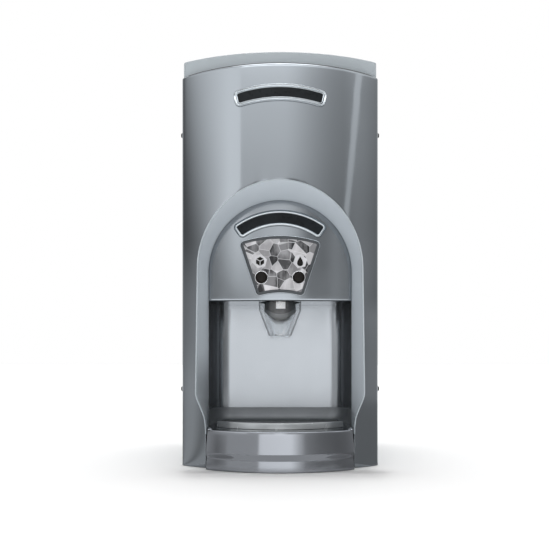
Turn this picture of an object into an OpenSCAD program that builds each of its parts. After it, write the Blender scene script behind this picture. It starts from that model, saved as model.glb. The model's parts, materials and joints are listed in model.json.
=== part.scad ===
// Countertop ice and water dispenser with a bowed front, an arched alcove and a drip sink.
// Millimetres. Z is up, the front faces -Y, and the origin is under the middle of the machine.

/* [Cabinet] */
// Width across the front panel
body_w = 412; // [400:1:500]
// Depth from the front of the drip sink to the end of the rear fittings
body_d = 580; // [560:1:720]
// Height from the counter to the top of the cover
body_h = 850; // [820:1:1050]
// Wall of the moulded plastic pieces
wall = 3; // [2.5:0.1:4]
// Thickness of the sheet metal panels
sheet = 1.5; // [1:0.1:2]
// Thickness of the base pan and the shelf
pan_t = 2; // [1.5:0.1:3]
// Gap between moulded pieces and around moving ones
gap = 0.3; // [0.2:0.05:0.5]
// Radial clearance of a shaft in its bearing
run_fit = 0.05; // [0.02:0.01:0.1]
// How far the rear fittings stand out from the back panel
rear_reach = 18; // [14:1:40]

/* [Front panel] */
// Radius of the bow of the front panel
panel_bow_r = 305; // [290:1:380]
// Rounding of the two upright edges
panel_corner_r = 10; // [8:1:20]
// Depth of the side flange behind the rounded edge
panel_flange = 28; // [24:1:40]
// Height of the panel's lower edge over the counter
panel_foot = 1; // [0.5:0.5:4]
// Height of the lower side screws
screw_low_z = 161; // [60:1:300]
// Height of the upper side screws
screw_high_z = 700; // [500:1:780]
// Radius of a side screw's head
screw_head_r = 6.3; // [5:0.1:8]
// Height of a side screw's head
screw_head_h = 4.5; // [3:0.5:6]
// Radius of a side screw's shank
screw_r = 2.5; // [2:0.1:3]

/* [Top cover] */
// Height of the cover over the front panel
cover_h = 34; // [20:1:60]
// Radius of the bow of the cover
cover_bow_r = 400; // [330:1:600]
// Setback of the cover behind the front panel
cover_set = 30; // [20:1:45]
// Inset of the cover's sides from the front panel's sides
cover_inset = 2.3; // [1.6:0.1:2.9]
// Rounding of the cover's upright front edges
cover_corner_r = 12; // [8:1:20]

/* [Arch and alcove] */
// Radius of the arch in the front panel
arch_r = 171; // [160:1:176]
// Height of the arch's centre
arch_z = 411; // [380:1:440]
// Outward lean of the opening's sides
arch_flare = 4; // [0:0.5:8]
// Height where the sides start to close in
flare_z = 148; // [130:1:200]
// Height where the opening reaches its narrow foot
foot_z = 105; // [95:1:120]
// Half-width of the opening at the drip sink
foot_half_w = 152.5; // [151:0.5:158]
// Radius of the arch where it meets the console
arch_inner_r = 155; // [150:1:159]
// Depth of the console behind the front of the panel
console_set = 115; // [105:1:125]
// Depth of the alcove's back behind the front of the panel
alcove_set = 250; // [240:1:255]
// Rounding of the alcove's back corners
alcove_corner_r = 45; // [20:1:60]
// Height of the alcove's ceiling
ceiling_z = 349; // [330:1:352]

/* [Drip sink and grille] */
// Height of the drip sink
sink_h = 81; // [70:1:92]
// How far the drip sink stands out from the front panel
sink_proud = 36; // [20:1:50]
// Radius of the bow of the drip sink
sink_bow_r = 249; // [200:1:320]
// Half-width of the drip sink's front
sink_half_w = 149; // [140:0.5:150]
// Height of the floor of the drip sink
sink_floor_z = 30; // [28:1:50]
// Radius of the bead along the drip sink's front
bead_r = 7; // [5:0.5:9]
// How far the bead stands out
bead_proud = 3; // [1:0.5:4]
// Height of the bead's middle
bead_z = 35; // [20:1:60]
// Height of the cup grille
grille_h = 13; // [10:1:18]
// Radius of the bow of the cup grille
grille_bow_r = 175; // [160:1:240]
// Setback of the cup grille behind the front of the panel
grille_set = 20; // [10:1:40]
// Half-width of the cup grille
grille_half_w = 134; // [110:1:140]
// Width of a slot in the cup grille
slot_w = 6; // [4:0.5:8]
// Distance from slot to slot
slot_pitch = 13; // [10:0.5:18]

/* [Name plates] */
// Radius of the upper name plate's curve
name_r = 385; // [300:1:500]
// Height of the middle of the upper name plate
name_z = 757; // [700:1:765]
// Half-length of the upper name plate
name_half_w = 84; // [60:1:100]
// Height of the upper name plate
name_h = 18; // [12:1:24]
// Radius of the console name plate's curve
label_r = 152.5; // [140:0.5:160]
// Height of the centre of the console name plate's curve
label_hub_z = 375; // [365:1:380]
// Half-angle of the console name plate
label_half_angle = 35; // [25:1:40]
// Height of the console name plate
label_h = 20; // [14:1:24]
// Width of the frame around each name plate
frame_w = 7; // [4:0.5:8]
// How far the frames stand out
frame_proud = 3.5; // [2:0.5:5]
// How far the name plates stand out
plate_proud = 2; // [1:0.5:2]

/* [Control panel] */
// Radius of the control bezel's lower curve
bezel_r_in = 155; // [145:1:165]
// Radius of the control bezel's upper curve
bezel_r_out = 275; // [265:1:280]
// Height of the centre of the control bezel's curves
bezel_hub_z = 213; // [205:1:218]
// Half-angle of the control bezel
bezel_half_angle = 18.3; // [16:0.1:20]
// Rounding of the control bezel's corners
bezel_corner_r = 8; // [4:1:12]
// Width of the control bezel's rim
bezel_rim = 5.5; // [4:0.5:6]
// How far the control bezel stands out
bezel_proud = 4; // [3:0.5:6]
// Thickness of the printed overlay
overlay_t = 2; // [1:0.5:2]
// Radius of a push button
button_r = 12; // [9:0.5:13]
// Sideways place of the push buttons
button_x = 40; // [34:0.5:40]
// Height of the push buttons
button_z = 399; // [392:1:410]
// How far a push button stands out from the console
button_proud = 11; // [8:0.5:14]
// Travel of a push button
button_travel = 3; // [2:0.5:4]
// Width of the ring around a push button
ring_w = 2.4; // [1.5:0.1:3]

/* [Spout] */
// Depth of the spout behind the front of the panel
spout_set = 172; // [171:1:176]
// Radius of the spout at the top
spout_r = 47; // [44:1:48]
// Height where the spout starts to narrow
spout_neck_z = 328; // [315:1:335]
// Radius of the spout at its tip
spout_tip_r = 26; // [22:1:32]
// Height of the spout's tip
spout_tip_z = 277; // [260:1:290]
// Wall of the spout
spout_wall = 2.5; // [1.5:0.1:3]
// Radius of the inner chute
chute_r = 38; // [35:1:39]
// Height of the inner chute's lower end
chute_tip_z = 303; // [298:1:310]

/* [Ice bin] */
// Inner radius of the ice bin
bin_r = 135; // [134:1:136]
// Wall of the ice bin
bin_wall = 4; // [3:0.5:5]
// Depth of the ice bin's axis behind the front of the panel
bin_set = 274; // [272:1:275]
// Height of the shelf that carries the bin
shelf_z = 388; // [386:1:392]
// Height of the bin's floor over the shelf
bin_lift = 12; // [11:1:16]
// Width of the bin's square outlet
outlet_w = 44; // [36:1:45]
// Travel of the gate
gate_travel = 55; // [50:1:58]
// Radius of the agitator's shaft
agitator_r = 8; // [6:0.5:10]

/* [Ice maker] */
// Sideways place of the ice maker's column
column_x = -110; // [-118:1:-105]
// Distance of the column from the back panel
column_back = 70; // [66:1:74]
// Outer radius of the evaporator barrel
barrel_r = 35; // [32:1:38]
// Radius of the evaporator's bore
bore_r = 26; // [22:1:28]
// Height of the evaporator barrel
barrel_h = 246; // [200:1:260]
// Thickness of the insulation around the evaporator
insulation_t = 20; // [10:1:20]
// Radius of the auger's core
auger_core_r = 12; // [10:0.5:14]
// Turns of the auger's flight
auger_turns = 4; // [3:1:6]

/* [Refrigeration] */
// Radius of the compressor
compressor_r = 75; // [60:1:78]
// Height of the compressor's can
compressor_h = 165; // [140:1:190]
// Radius of the fan
fan_r = 85; // [70:1:88]
// Number of fan blades
fan_blades = 5; // [3:1:7]
// Thickness of the condenser
condenser_d = 40; // [30:1:44]

/* [Water] */
// Width of the reservoir
reservoir_w = 100; // [90:1:105]
// Depth of the reservoir
reservoir_d = 80; // [76:1:84]
// Height of the reservoir
reservoir_h = 90; // [84:1:110]
// Height of the reservoir's floor
reservoir_z = 560; // [540:1:580]
// Outer radius of the water tubes
tube_r = 4; // [3:0.5:5]
// Radius of the drain pipe
drain_r = 8; // [6:0.5:8.5]
// Radius of the inlet fitting
inlet_r = 9; // [7:0.5:11]

/* [Legs] */
// Radius of the threaded holes for legs
leg_hole_r = 4.25; // [3:0.25:6]
// Radius of a leg socket
leg_socket_r = 10; // [8:1:12]
// Height of a leg socket
leg_socket_h = 14; // [10:1:18]
// Sideways distance between the leg holes
leg_span_x = 360; // [340:1:370]
// Front to back distance between the leg holes
leg_span_y = 380; // [360:1:390]

/* [Hidden] */
$fn = 96;
eps = 1;
half_w = body_w / 2;
side_out = half_w - wall;
side_in = side_out - sheet;
panel_h = body_h - cover_h;
panel_y = -body_d / 2 + sink_proud;
back_y = body_d / 2 - rear_reach;
back_in = back_y - sheet;

// Depth behind the front of the panel, as a Y value
function yt(t) = panel_y + t;

// Depth of a bow of radius r at the sideways place x
function bow_sag(r, x) = r - sqrt(r * r - x * x);

// Depth of the centre of the rounded edge of a bowed outline
function edge_t(bow_r, corner_r, hw) = bow_r - sqrt(pow(bow_r - corner_r, 2) - pow(hw - corner_r, 2));

panel_edge_t = edge_t(panel_bow_r, panel_corner_r, half_w);
panel_back_y = yt(panel_edge_t + panel_flange);
side_lap = 24;
side_front_y = panel_back_y - side_lap;
screw_y = panel_back_y - 12;
cover_hw = half_w - cover_inset;
ledge_lap = cover_corner_r - 2;
jamb_t = bow_sag(panel_bow_r, arch_r);
tunnel_lap = 14;
arch_step = 0.2;
console_y = yt(console_set);
sink_y = yt(bead_proud - sink_proud);
sink_flange_t = 62;
sink_flange_half_w = arch_inner_r + wall + 2;
grille_y = yt(grille_set);
grille_back_y = yt(alcove_set) - 16;
pocket_inset = 8;
spout_y = yt(spout_set);
bin_y = yt(bin_set);
bin_floor_z = shelf_z + bin_lift;
bin_top_z = panel_h - 26;
drain_y = yt(alcove_set) - 60;
drain_z = pan_t + 2 + drain_r;
drain_rise = drain_r + 2;
button_hole_r = button_r + gap;
button_flange_y = console_y + wall + 2 * gap;
button_flange_h = 2;
button_stem_h = 3;
switch_y = button_flange_y + button_flange_h + button_stem_h + button_travel + gap;
nozzle_y = spout_y + spout_r + 16;
nozzle_r = 6;
nozzle_lip = 3;

// Draws a flat outline in X and Z, from y to y + depth
module upright(y, depth) {
  translate([0, y + depth, 0]) rotate([90, 0, 0]) linear_extrude(depth) children();
}

// Places a cylinder along +Y
module along_y(r, h) {
  rotate([-90, 0, 0]) cylinder(r = r, h = h);
}

// Places a cylinder along +X
module along_x(r, h) {
  rotate([0, 90, 0]) cylinder(r = r, h = h);
}

// Draws its children on both sides of the machine
module both_sides() {
  children();
  mirror([1, 0, 0]) children();
}

// Bowed outline seen from above, grown by g, that ends at y_end
module bowed_plan(g, bow_r, set, corner_r, hw, y_end) {
  edge_y = yt(set + edge_t(bow_r, corner_r, hw));
  touch_x = (hw - corner_r) * (bow_r + g) / (bow_r - corner_r);
  intersection() {
    translate([0, yt(set) + bow_r]) circle(bow_r + g, $fn = 256);
    translate([-touch_x, yt(set) - g - eps]) square([2 * touch_x, y_end - yt(set) + g + eps]);
  }
  for (s = [-1, 1]) translate([s * (hw - corner_r), edge_y]) circle(corner_r + g);
  translate([-hw - g, edge_y]) square([2 * (hw + g), y_end - edge_y]);
}

module panel_plan(g, extra = 0) {
  bowed_plan(g, panel_bow_r, 0, panel_corner_r, half_w, panel_back_y + extra);
}

module cover_plan(g) {
  bowed_plan(g, cover_bow_r, cover_set, cover_corner_r, cover_hw, back_y + g);
}

// Upright cylinder on the axis of the front panel's bow
module panel_drum(r) {
  translate([0, panel_y + panel_bow_r, 0]) cylinder(r = r, h = body_h, $fn = 256);
}

// Alcove seen from above, grown by g: a flared mouth and a back with rounded corners
module alcove_plan(g) {
  mouth = arch_r + g;
  inner = arch_inner_r + g;
  corner_x = arch_inner_r - alcove_corner_r;
  corner_y = yt(alcove_set - alcove_corner_r);
  polygon([[-mouth, yt(jamb_t)], [mouth, yt(jamb_t)], [inner, console_y], [-inner, console_y]]);
  translate([-inner, console_y - eps / 10]) square([2 * inner, corner_y - console_y + eps / 10]);
  translate([-corner_x, corner_y]) square([2 * corner_x, alcove_corner_r + g]);
  for (s = [-1, 1]) translate([s * corner_x, corner_y]) circle(alcove_corner_r + g);
}

// Arched outline of radius r over straight sides that reach down to z
module arch_outline(r, z) {
  translate([0, arch_z]) circle(r, $fn = 192);
  translate([-r, z]) square([2 * r, arch_z - z]);
}

// Opening in the front panel, in X and Z
module panel_opening() {
  flared = arch_r + arch_flare;
  side = [
    [arch_r, arch_z],
    [flared, flare_z],
    [foot_half_w + wall, foot_z],
    [foot_half_w, sink_h],
    [foot_half_w, -eps]
  ];
  translate([0, arch_z]) circle(arch_r, $fn = 192);
  polygon(concat(side, [for (i = [len(side) - 1:-1:0]) [-side[i][0], side[i][1]]]));
}

// Ring sector, upright about its own centre and moved up by shift
module ring_sector(r_in, r_out, half, shift = 0) {
  reach = 2 * r_out;
  intersection() {
    difference() {
      circle(r_out, $fn = 192);
      circle(r_in, $fn = 192);
    }
    translate([0, shift]) polygon([
      [0, 0],
      [reach * sin(half), reach * cos(half)],
      [-reach * sin(half), reach * cos(half)]
    ]);
  }
}

// Ring sector with rounded corners
module fan_sector(r_in, r_out, half, corner) {
  ring_sector(r_in + corner, r_out - corner, half);
  ring_sector(r_in, r_out, half, corner / sin(half));
  for (s = [-1, 1], r = [r_in + corner, r_out - corner]) {
    a = half - asin(corner / r);
    translate([s * r * sin(a), r * cos(a)]) circle(corner);
  }
}

// Outline of the upper name plate, grown by g
module name_outline(g) {
  half = asin(name_half_w / name_r) + g / name_r * 180 / PI;
  translate([0, name_z - name_r])
    ring_sector(name_r - name_h / 2 - g, name_r + name_h / 2 + g, half);
}

// Outline of the console name plate, grown by g
module label_outline(g) {
  half = label_half_angle + g / label_r * 180 / PI;
  translate([0, label_hub_z])
    ring_sector(label_r - label_h / 2 - g, label_r + label_h / 2 + g, half);
}

// Outline of the control bezel, grown by g
module bezel_outline(g) {
  half = bezel_half_angle + g / (bezel_r_in + bezel_r_out) * 360 / PI;
  translate([0, bezel_hub_z])
    fan_sector(bezel_r_in - g, bezel_r_out + g, half, max(1, bezel_corner_r + g));
}

// Circles of the two push buttons, in X and Z
module button_circles(r) {
  for (s = [-1, 1]) translate([s * button_x, button_z]) circle(r);
}

// A plate that lies on the bowed front panel, or is sunk into it
module on_panel(proud, sunk = 0) {
  difference() {
    intersection() {
      upright(panel_y - 2 * proud, panel_edge_t) children();
      panel_drum(panel_bow_r + proud);
    }
    panel_drum(panel_bow_r - sunk);
  }
}

// Front of the drip sink seen from above, grown by g
module sink_front_plan(g) {
  w = sink_half_w + g;
  intersection() {
    translate([0, sink_y + sink_bow_r]) circle(sink_bow_r + g, $fn = 256);
    translate([-w, sink_y - g - eps]) square([2 * w, yt(sink_flange_t) - sink_y + g + eps]);
  }
}

// Whole top of the drip sink seen from above
module sink_top_plan() {
  back = yt(alcove_set) + wall;
  front = yt(sink_flange_t);
  sink_front_plan(0);
  translate([-sink_flange_half_w, front - eps / 10])
    square([2 * sink_flange_half_w, back - front + eps / 10]);
}

// Cup grille seen from above, grown by g
module grille_plan(g) {
  w = grille_half_w + g;
  intersection() {
    translate([0, grille_y + grille_bow_r]) circle(grille_bow_r + g, $fn = 256);
    translate([-w, grille_y - g - eps]) square([2 * w, grille_back_y - grille_y + 2 * g + eps]);
  }
}

// A tube that follows a list of points, with a square elbow fitting at each bend
module path_rod(points, r) {
  elbow_w = 2 * r + 4;
  for (i = [0:len(points) - 2]) {
    d = points[i + 1] - points[i];
    translate(points[i])
      rotate([0, acos(d[2] / norm(d)), atan2(d[1], d[0])])
        cylinder(r = r, h = norm(d), $fn = 32);
  }
  for (i = [1:1:len(points) - 2]) translate(points[i]) cube(elbow_w, center = true);
}

// Cabinet

module front_panel() {
  lap_w = half_w - side_in + gap;
  color("silver") difference() {
    union() {
      translate([0, 0, panel_foot]) linear_extrude(panel_h - panel_foot) difference() {
        panel_plan(0);
        panel_plan(-wall, eps);
      }
      translate([0, 0, panel_h - wall]) linear_extrude(wall) difference() {
        panel_plan(-wall / 2);
        cover_plan(-ledge_lap);
        for (s = [-1, 1])
          translate([s * (half_w - lap_w / 2), side_front_y + panel_flange - gap])
            square([lap_w, 2 * panel_flange], center = true);
      }
      on_panel(frame_proud, wall / 2) difference() {
        name_outline(frame_w);
        name_outline(0);
      }
    }
    upright(panel_y - eps, panel_edge_t) panel_opening();
    for (s = [-1, 1], z = [screw_low_z, screw_high_z])
      translate([s > 0 ? side_out - eps : -half_w - eps, screw_y, z]) along_x(screw_r, wall + 2 * eps);
  }
}

module top_cover() {
  color("darkgray") difference() {
    translate([0, 0, panel_h]) linear_extrude(cover_h) cover_plan(0);
    translate([0, 0, panel_h - eps]) linear_extrude(cover_h - wall + eps) cover_plan(-wall);
  }
}

// Side panel on the +X side, with louvres low at the rear
module side_panel() {
  flange = 12;
  louvre_z = 60;
  louvre_pitch = 16;
  louvre_l = 120;
  louvre_h = 5;
  louvre_y = back_in - louvre_l - 60;
  louvres = 12;
  difference() {
    union() {
      translate([side_in, side_front_y, pan_t]) cube([sheet, back_in - side_front_y, panel_h - pan_t]);
      translate([side_in - flange, panel_back_y + eps, panel_h - sheet])
        cube([flange + sheet / 2, back_in - panel_back_y - eps, sheet]);
    }
    for (i = [0:louvres - 1]) translate([side_in - eps, louvre_y, louvre_z + i * louvre_pitch])
      cube([sheet + 2 * eps, louvre_l, louvre_h]);
    for (z = [screw_low_z, screw_high_z])
      translate([side_in - eps, screw_y, z]) along_x(screw_r, sheet + 2 * eps);
  }
}

module right_side_panel() {
  color("darkgray") side_panel();
}

module left_side_panel() {
  color("darkgray") mirror([1, 0, 0]) side_panel();
}

// Places of the fittings on the back panel, in X and Z
inlet_x = 172;
inlet_z = 350;
switch_x = -150;
switch_z = 300;
gland_x = -150;
gland_z = 80;
gland_r = 9;
switch_w = 22;
switch_h = 30;
rocker_slot_w = switch_w - 6;
rocker_y = back_y - 3;
rocker_pin_r = 2;
back_screw_r = 2;
back_screw_head_r = 4.5;
back_screw_head_h = 3;
back_screw_x = side_out - 14;
back_screw_end = 60;
back_screw_top_z = panel_h - back_screw_end;
back_screw_inlet_z = inlet_z - 58;
back_screw_mid_z = (back_screw_inlet_z + back_screw_top_z) / 2;
back_screw_zs = [back_screw_end, back_screw_inlet_z, back_screw_mid_z, back_screw_top_z];
screw_bite = 6;

// Places of the cooling pieces
fan_x = 62;
fan_z = 125;
condenser_w = 205;
condenser_h = 205;
condenser_z = 24;
condenser_y = back_in - 8 - condenser_d;
shroud_d = 22;
shroud_r = fan_r + 6;
fan_shaft_r = 3;
compressor_x = -105;
compressor_y = yt(alcove_set) + 110;
compressor_base_z = 16;

module back_panel() {
  vent_pitch = 14;
  vent_h = 6;
  vent_w = condenser_w - 30;
  vent_z = condenser_z + 18;
  vents = 13;
  color("darkgray") difference() {
    translate([-side_out, back_in, pan_t]) cube([2 * side_out, sheet, panel_h - pan_t]);
    for (i = [0:vents - 1]) translate([fan_x - vent_w / 2, back_in - eps, vent_z + i * vent_pitch])
      cube([vent_w, sheet + 2 * eps, vent_h]);
    translate([inlet_x, back_in - eps, inlet_z]) along_y(inlet_r, sheet + 2 * eps);
    translate([0, back_in - eps, drain_z]) along_y(drain_r, sheet + 2 * eps);
    translate([gland_x, back_in - eps, gland_z]) along_y(gland_r, sheet + 2 * eps);
    translate([switch_x - switch_w / 2, back_in - eps, switch_z - switch_h / 2])
      cube([switch_w, sheet + 2 * eps, switch_h]);
    for (s = [-1, 1], z = back_screw_zs)
      translate([s * back_screw_x, back_in - eps, z]) along_y(back_screw_r, sheet + 2 * eps);
  }
}

// Places of the leg holes from the back panel forwards, and how far the pan has to reach for them
leg_back_y = back_in - 28;
leg_front_y = leg_back_y - leg_span_y;
leg_pad_y = min(side_front_y, leg_front_y - leg_socket_r);
leg_pad_half_w = leg_span_x / 2 + leg_socket_r;

// Draws its children at the four leg holes
module at_legs() {
  for (s = [-1, 1], y = [leg_back_y, leg_front_y]) translate([s * leg_span_x / 2, y, 0]) children();
}

// Pan with turned-up edges and four threaded sockets for legs
module base_pan() {
  flange = 40;
  depth = back_in - side_front_y;
  drain_cut = 3 * drain_r;
  color("gainsboro") difference() {
    union() {
      difference() {
        translate([-side_in, side_front_y, 0]) cube([2 * side_in, depth, flange]);
        translate([-side_in + sheet, side_front_y - eps, pan_t])
          cube([2 * (side_in - sheet), depth - sheet + eps, flange]);
      }
      at_legs() cylinder(r = leg_socket_r, h = leg_socket_h);
      translate([-leg_pad_half_w, leg_pad_y, 0])
        cube([2 * leg_pad_half_w, side_front_y - leg_pad_y + leg_socket_r, pan_t]);
    }
    translate([-drain_cut / 2, back_in - sheet - eps, pan_t]) cube([drain_cut, sheet + 2 * eps, flange]);
    at_legs() translate([0, 0, -eps]) cylinder(r = leg_hole_r, h = leg_socket_h + 2 * eps);
  }
}

// Truss-head screws through the front panel's side flanges
module panel_screws() {
  shank = wall + sheet + screw_bite;
  crown_r = 0.6 * screw_head_r;
  color([0.2, 0.2, 0.21]) both_sides() for (z = [screw_low_z, screw_high_z])
    translate([half_w, screw_y, z]) {
      translate([-shank, 0, 0]) along_x(screw_r, shank + eps);
      along_x(screw_head_r, screw_head_h / 3);
      translate([screw_head_h / 3, 0, 0]) rotate([0, 90, 0])
        cylinder(r1 = screw_head_r, r2 = crown_r, h = screw_head_h * 2 / 3);
    }
}

module back_screws() {
  color("lightgray") for (s = [-1, 1], z = back_screw_zs) translate([s * back_screw_x, back_y, z]) {
    along_y(back_screw_head_r, back_screw_head_h);
    translate([0, -sheet - screw_bite, 0]) along_y(back_screw_r, sheet + screw_bite + eps);
  }
}

// Alcove and console

// Arched tunnel of the alcove grown by g, from the front panel to just behind the console
module tunnel(g) {
  translate([0, panel_y, arch_z]) {
    along_y(arch_r + g, jamb_t);
    translate([0, jamb_t, 0]) rotate([-90, 0, 0])
      cylinder(r1 = arch_r + g, r2 = arch_inner_r + g, h = console_set - jamb_t);
    translate([0, console_set, 0]) along_y(arch_inner_r + g, tunnel_lap);
  }
}

// Wall of the alcove seen from above, cut off at the inside of the front panel
module liner_plan() {
  intersection() {
    difference() {
      alcove_plan(wall);
      alcove_plan(0);
    }
    translate([0, panel_y + panel_bow_r]) circle(panel_bow_r - wall, $fn = 256);
  }
}

// Alcove walls, the jambs over them and the arch, which stands a hair proud of the jambs
module alcove_liner() {
  top_z = ceiling_z + 2 * wall;
  tunnel_y = console_y + tunnel_lap;
  color("silver") {
    translate([0, 0, sink_h]) linear_extrude(top_z - sink_h) liner_plan();
    translate([0, 0, sink_h]) linear_extrude(arch_z - sink_h) intersection() {
      liner_plan();
      translate([-half_w, panel_y]) square([body_w, tunnel_y - panel_y]);
    }
    intersection() {
      difference() {
        tunnel(wall + arch_step, $fn = 192);
        tunnel(-arch_step, $fn = 192);
        translate([-half_w, panel_y - eps, 0]) cube([body_w, alcove_set, arch_z]);
      }
      panel_drum(panel_bow_r - wall);
    }
  }
}

module console_hood() {
  color("silver") {
    upright(console_y - frame_proud, frame_proud + wall / 2) difference() {
      label_outline(frame_w / 2);
      label_outline(0);
    }
    difference() {
      upright(console_y, wall) difference() {
        arch_outline(arch_inner_r - gap, ceiling_z);
        button_circles(button_hole_r);
      }
      translate([-half_w, console_y - eps, 0]) cube([body_w, 2 * wall + eps, ceiling_z]);
    }
    translate([0, 0, ceiling_z]) linear_extrude(wall) difference() {
      intersection() {
        alcove_plan(-gap);
        translate([-half_w, console_y]) square([body_w, alcove_set]);
      }
      translate([0, spout_y]) circle(spout_r);
      translate([0, nozzle_y]) circle(nozzle_r);
    }
  }
}

module upper_name_plate() {
  color([0.1, 0.1, 0.1]) on_panel(plate_proud) name_outline(0);
}

module console_name_plate() {
  color([0.1, 0.1, 0.1]) upright(console_y - plate_proud, plate_proud) label_outline(0);
}

module control_bezel() {
  color([0.33, 0.35, 0.37]) upright(console_y - bezel_proud, bezel_proud) difference() {
    bezel_outline(0);
    bezel_outline(-bezel_rim);
  }
}

module control_overlay() {
  color("lightgray") upright(console_y - overlay_t, overlay_t) difference() {
    bezel_outline(-bezel_rim);
    button_circles(button_hole_r);
  }
}

module button_rings() {
  color("white") upright(console_y - overlay_t - wall, wall) difference() {
    button_circles(button_hole_r + ring_w);
    button_circles(button_hole_r);
  }
}

// Push button: a cap, a flange behind the console and a stem that reaches its switch
module push_button(x) {
  crown_h = 3;
  cap_h = button_flange_y - console_y + button_proud;
  stem_y = button_flange_y + button_flange_h / 2;
  color([0.13, 0.11, 0.1]) translate([x, 0, button_z]) {
    translate([0, console_y - button_proud + crown_h, 0])
      along_y(button_r, cap_h - crown_h + button_flange_h / 2);
    translate([0, console_y - button_proud, 0]) rotate([-90, 0, 0])
      cylinder(r1 = button_r - crown_h, r2 = button_r, h = crown_h);
    translate([0, button_flange_y, 0]) along_y(button_r + 2, button_flange_h);
    translate([0, stem_y, 0]) along_y(button_r / 2, button_flange_h / 2 + button_stem_h);
  }
}

module ice_button() {
  push_button(-button_x);
}

module water_button() {
  push_button(button_x);
}

// One flat switch behind each button, each on a post behind the console
module button_switches() {
  switch_d = 8;
  switch_high = 16;
  post_r = 2.4;
  post_x = button_r + 5;
  color([0.25, 0.25, 0.27]) both_sides() translate([button_x, 0, button_z]) {
    translate([-button_r, switch_y, -switch_high / 2])
      cube([button_r + post_x + post_r, switch_d, switch_high]);
    translate([post_x, console_y + wall, 0]) along_y(post_r, switch_y - console_y - wall + switch_d / 2);
  }
}

module ice_spout() {
  flange_r = spout_r + 6;
  top_z = ceiling_z + wall;
  color("lightblue", 0.5) translate([0, spout_y, 0]) rotate_extrude() polygon([
    [spout_tip_r - spout_wall, spout_tip_z],
    [spout_tip_r, spout_tip_z],
    [spout_r, spout_neck_z],
    [spout_r, top_z],
    [flange_r, top_z],
    [flange_r, top_z + wall],
    [spout_r - spout_wall, top_z + wall],
    [spout_r - spout_wall, spout_neck_z]
  ]);
}

module ice_chute() {
  chute_wall = 2;
  tip_r = 24;
  top_z = shelf_z - pan_t;
  flange_r = chute_r + 6;
  shoulder_z = ceiling_z - 4;
  color([0.2, 0.21, 0.23]) translate([0, spout_y, 0]) rotate_extrude() polygon([
    [tip_r - chute_wall, chute_tip_z],
    [tip_r, chute_tip_z],
    [chute_r, shoulder_z],
    [chute_r, top_z - wall],
    [flange_r, top_z - wall],
    [flange_r, top_z],
    [chute_r - chute_wall, top_z],
    [chute_r - chute_wall, shoulder_z]
  ]);
}

module water_nozzle() {
  drop = 30;
  tip_z = ceiling_z - drop;
  color([0.2, 0.21, 0.23]) translate([0, nozzle_y, 0]) difference() {
    union() {
      translate([0, 0, tip_z]) cylinder(r = nozzle_r, h = drop + wall);
      translate([0, 0, ceiling_z + wall]) cylinder(r = nozzle_r + wall, h = nozzle_lip);
    }
    translate([0, 0, tip_z - eps]) cylinder(r = tube_r, h = 2 * drop);
  }
}

// Drip sink and cup grille

module sink_basin() {
  boss_r = drain_r + 4;
  bowl_h = sink_h - sink_floor_z;
  color("silver") difference() {
    union() {
      translate([0, 0, panel_foot]) linear_extrude(sink_h - panel_foot) sink_front_plan(0);
      translate([0, 0, sink_h - wall]) linear_extrude(wall) sink_top_plan();
      translate([0, 0, sink_floor_z - wall]) linear_extrude(bowl_h) grille_plan(wall - pocket_inset);
      translate([0, drain_y, drain_z + drain_rise])
        cylinder(r = boss_r, h = sink_floor_z - wall / 2 - drain_z - drain_rise);
      intersection() {
        translate([0, sink_y + sink_bow_r, bead_z]) rotate_extrude($fn = 256)
          translate([sink_bow_r - bead_r + bead_proud, 0]) circle(bead_r, $fn = 48);
        translate([-sink_half_w, sink_y - bead_proud - eps, 0])
          cube([2 * sink_half_w, yt(sink_flange_t) - sink_y, sink_h]);
      }
    }
    difference() {
      translate([0, 0, panel_foot - eps]) linear_extrude(sink_h - wall - panel_foot + eps) union() {
        sink_front_plan(-wall);
        translate([-sink_half_w + wall, yt(sink_flange_t) - eps]) square([2 * (sink_half_w - wall), 2 * eps]);
      }
      translate([0, 0, sink_floor_z - wall]) linear_extrude(sink_h) grille_plan(wall - pocket_inset);
    }
    translate([0, 0, sink_floor_z]) linear_extrude(sink_h) grille_plan(-pocket_inset);
    translate([0, drain_y, 0]) cylinder(r = drain_r, h = sink_h);
  }
}

module cup_grille() {
  slot_inset = 14;
  bar_w = 10;
  slot_end = (grille_back_y - grille_y - bar_w) / 2;
  base_z = sink_h + gap;
  deck_z = base_z + wall;
  top_z = sink_h + grille_h;
  corner_y = grille_y + grille_bow_r - sqrt(pow(grille_bow_r, 2) - pow(grille_half_w, 2));
  slope_y = corner_y + wall;
  slope_end_y = slope_y + 4 * grille_h;
  slots = floor((grille_half_w - slot_inset) / slot_pitch);
  color("gray") {
    translate([0, 0, base_z]) linear_extrude(wall) difference() {
      grille_plan(0);
      intersection() {
        grille_plan(-slot_inset);
        for (i = [-slots:slots])
          translate([i * slot_pitch - slot_w / 2, grille_y]) square([slot_w, slot_end]);
      }
    }
    // The lip is high in front and falls away along the sides
    intersection() {
      translate([0, 0, deck_z - eps / 2]) linear_extrude(top_z - deck_z + eps / 2) difference() {
        grille_plan(0);
        grille_plan(-wall);
      }
      rotate([90, 0, 90]) translate([0, 0, -half_w]) linear_extrude(body_w) polygon([
        [panel_y, base_z],
        [slope_end_y, base_z],
        [slope_end_y, deck_z],
        [slope_y, top_z + eps],
        [panel_y, top_z + eps]
      ]);
    }
  }
}

// Ice bin and gate

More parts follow.
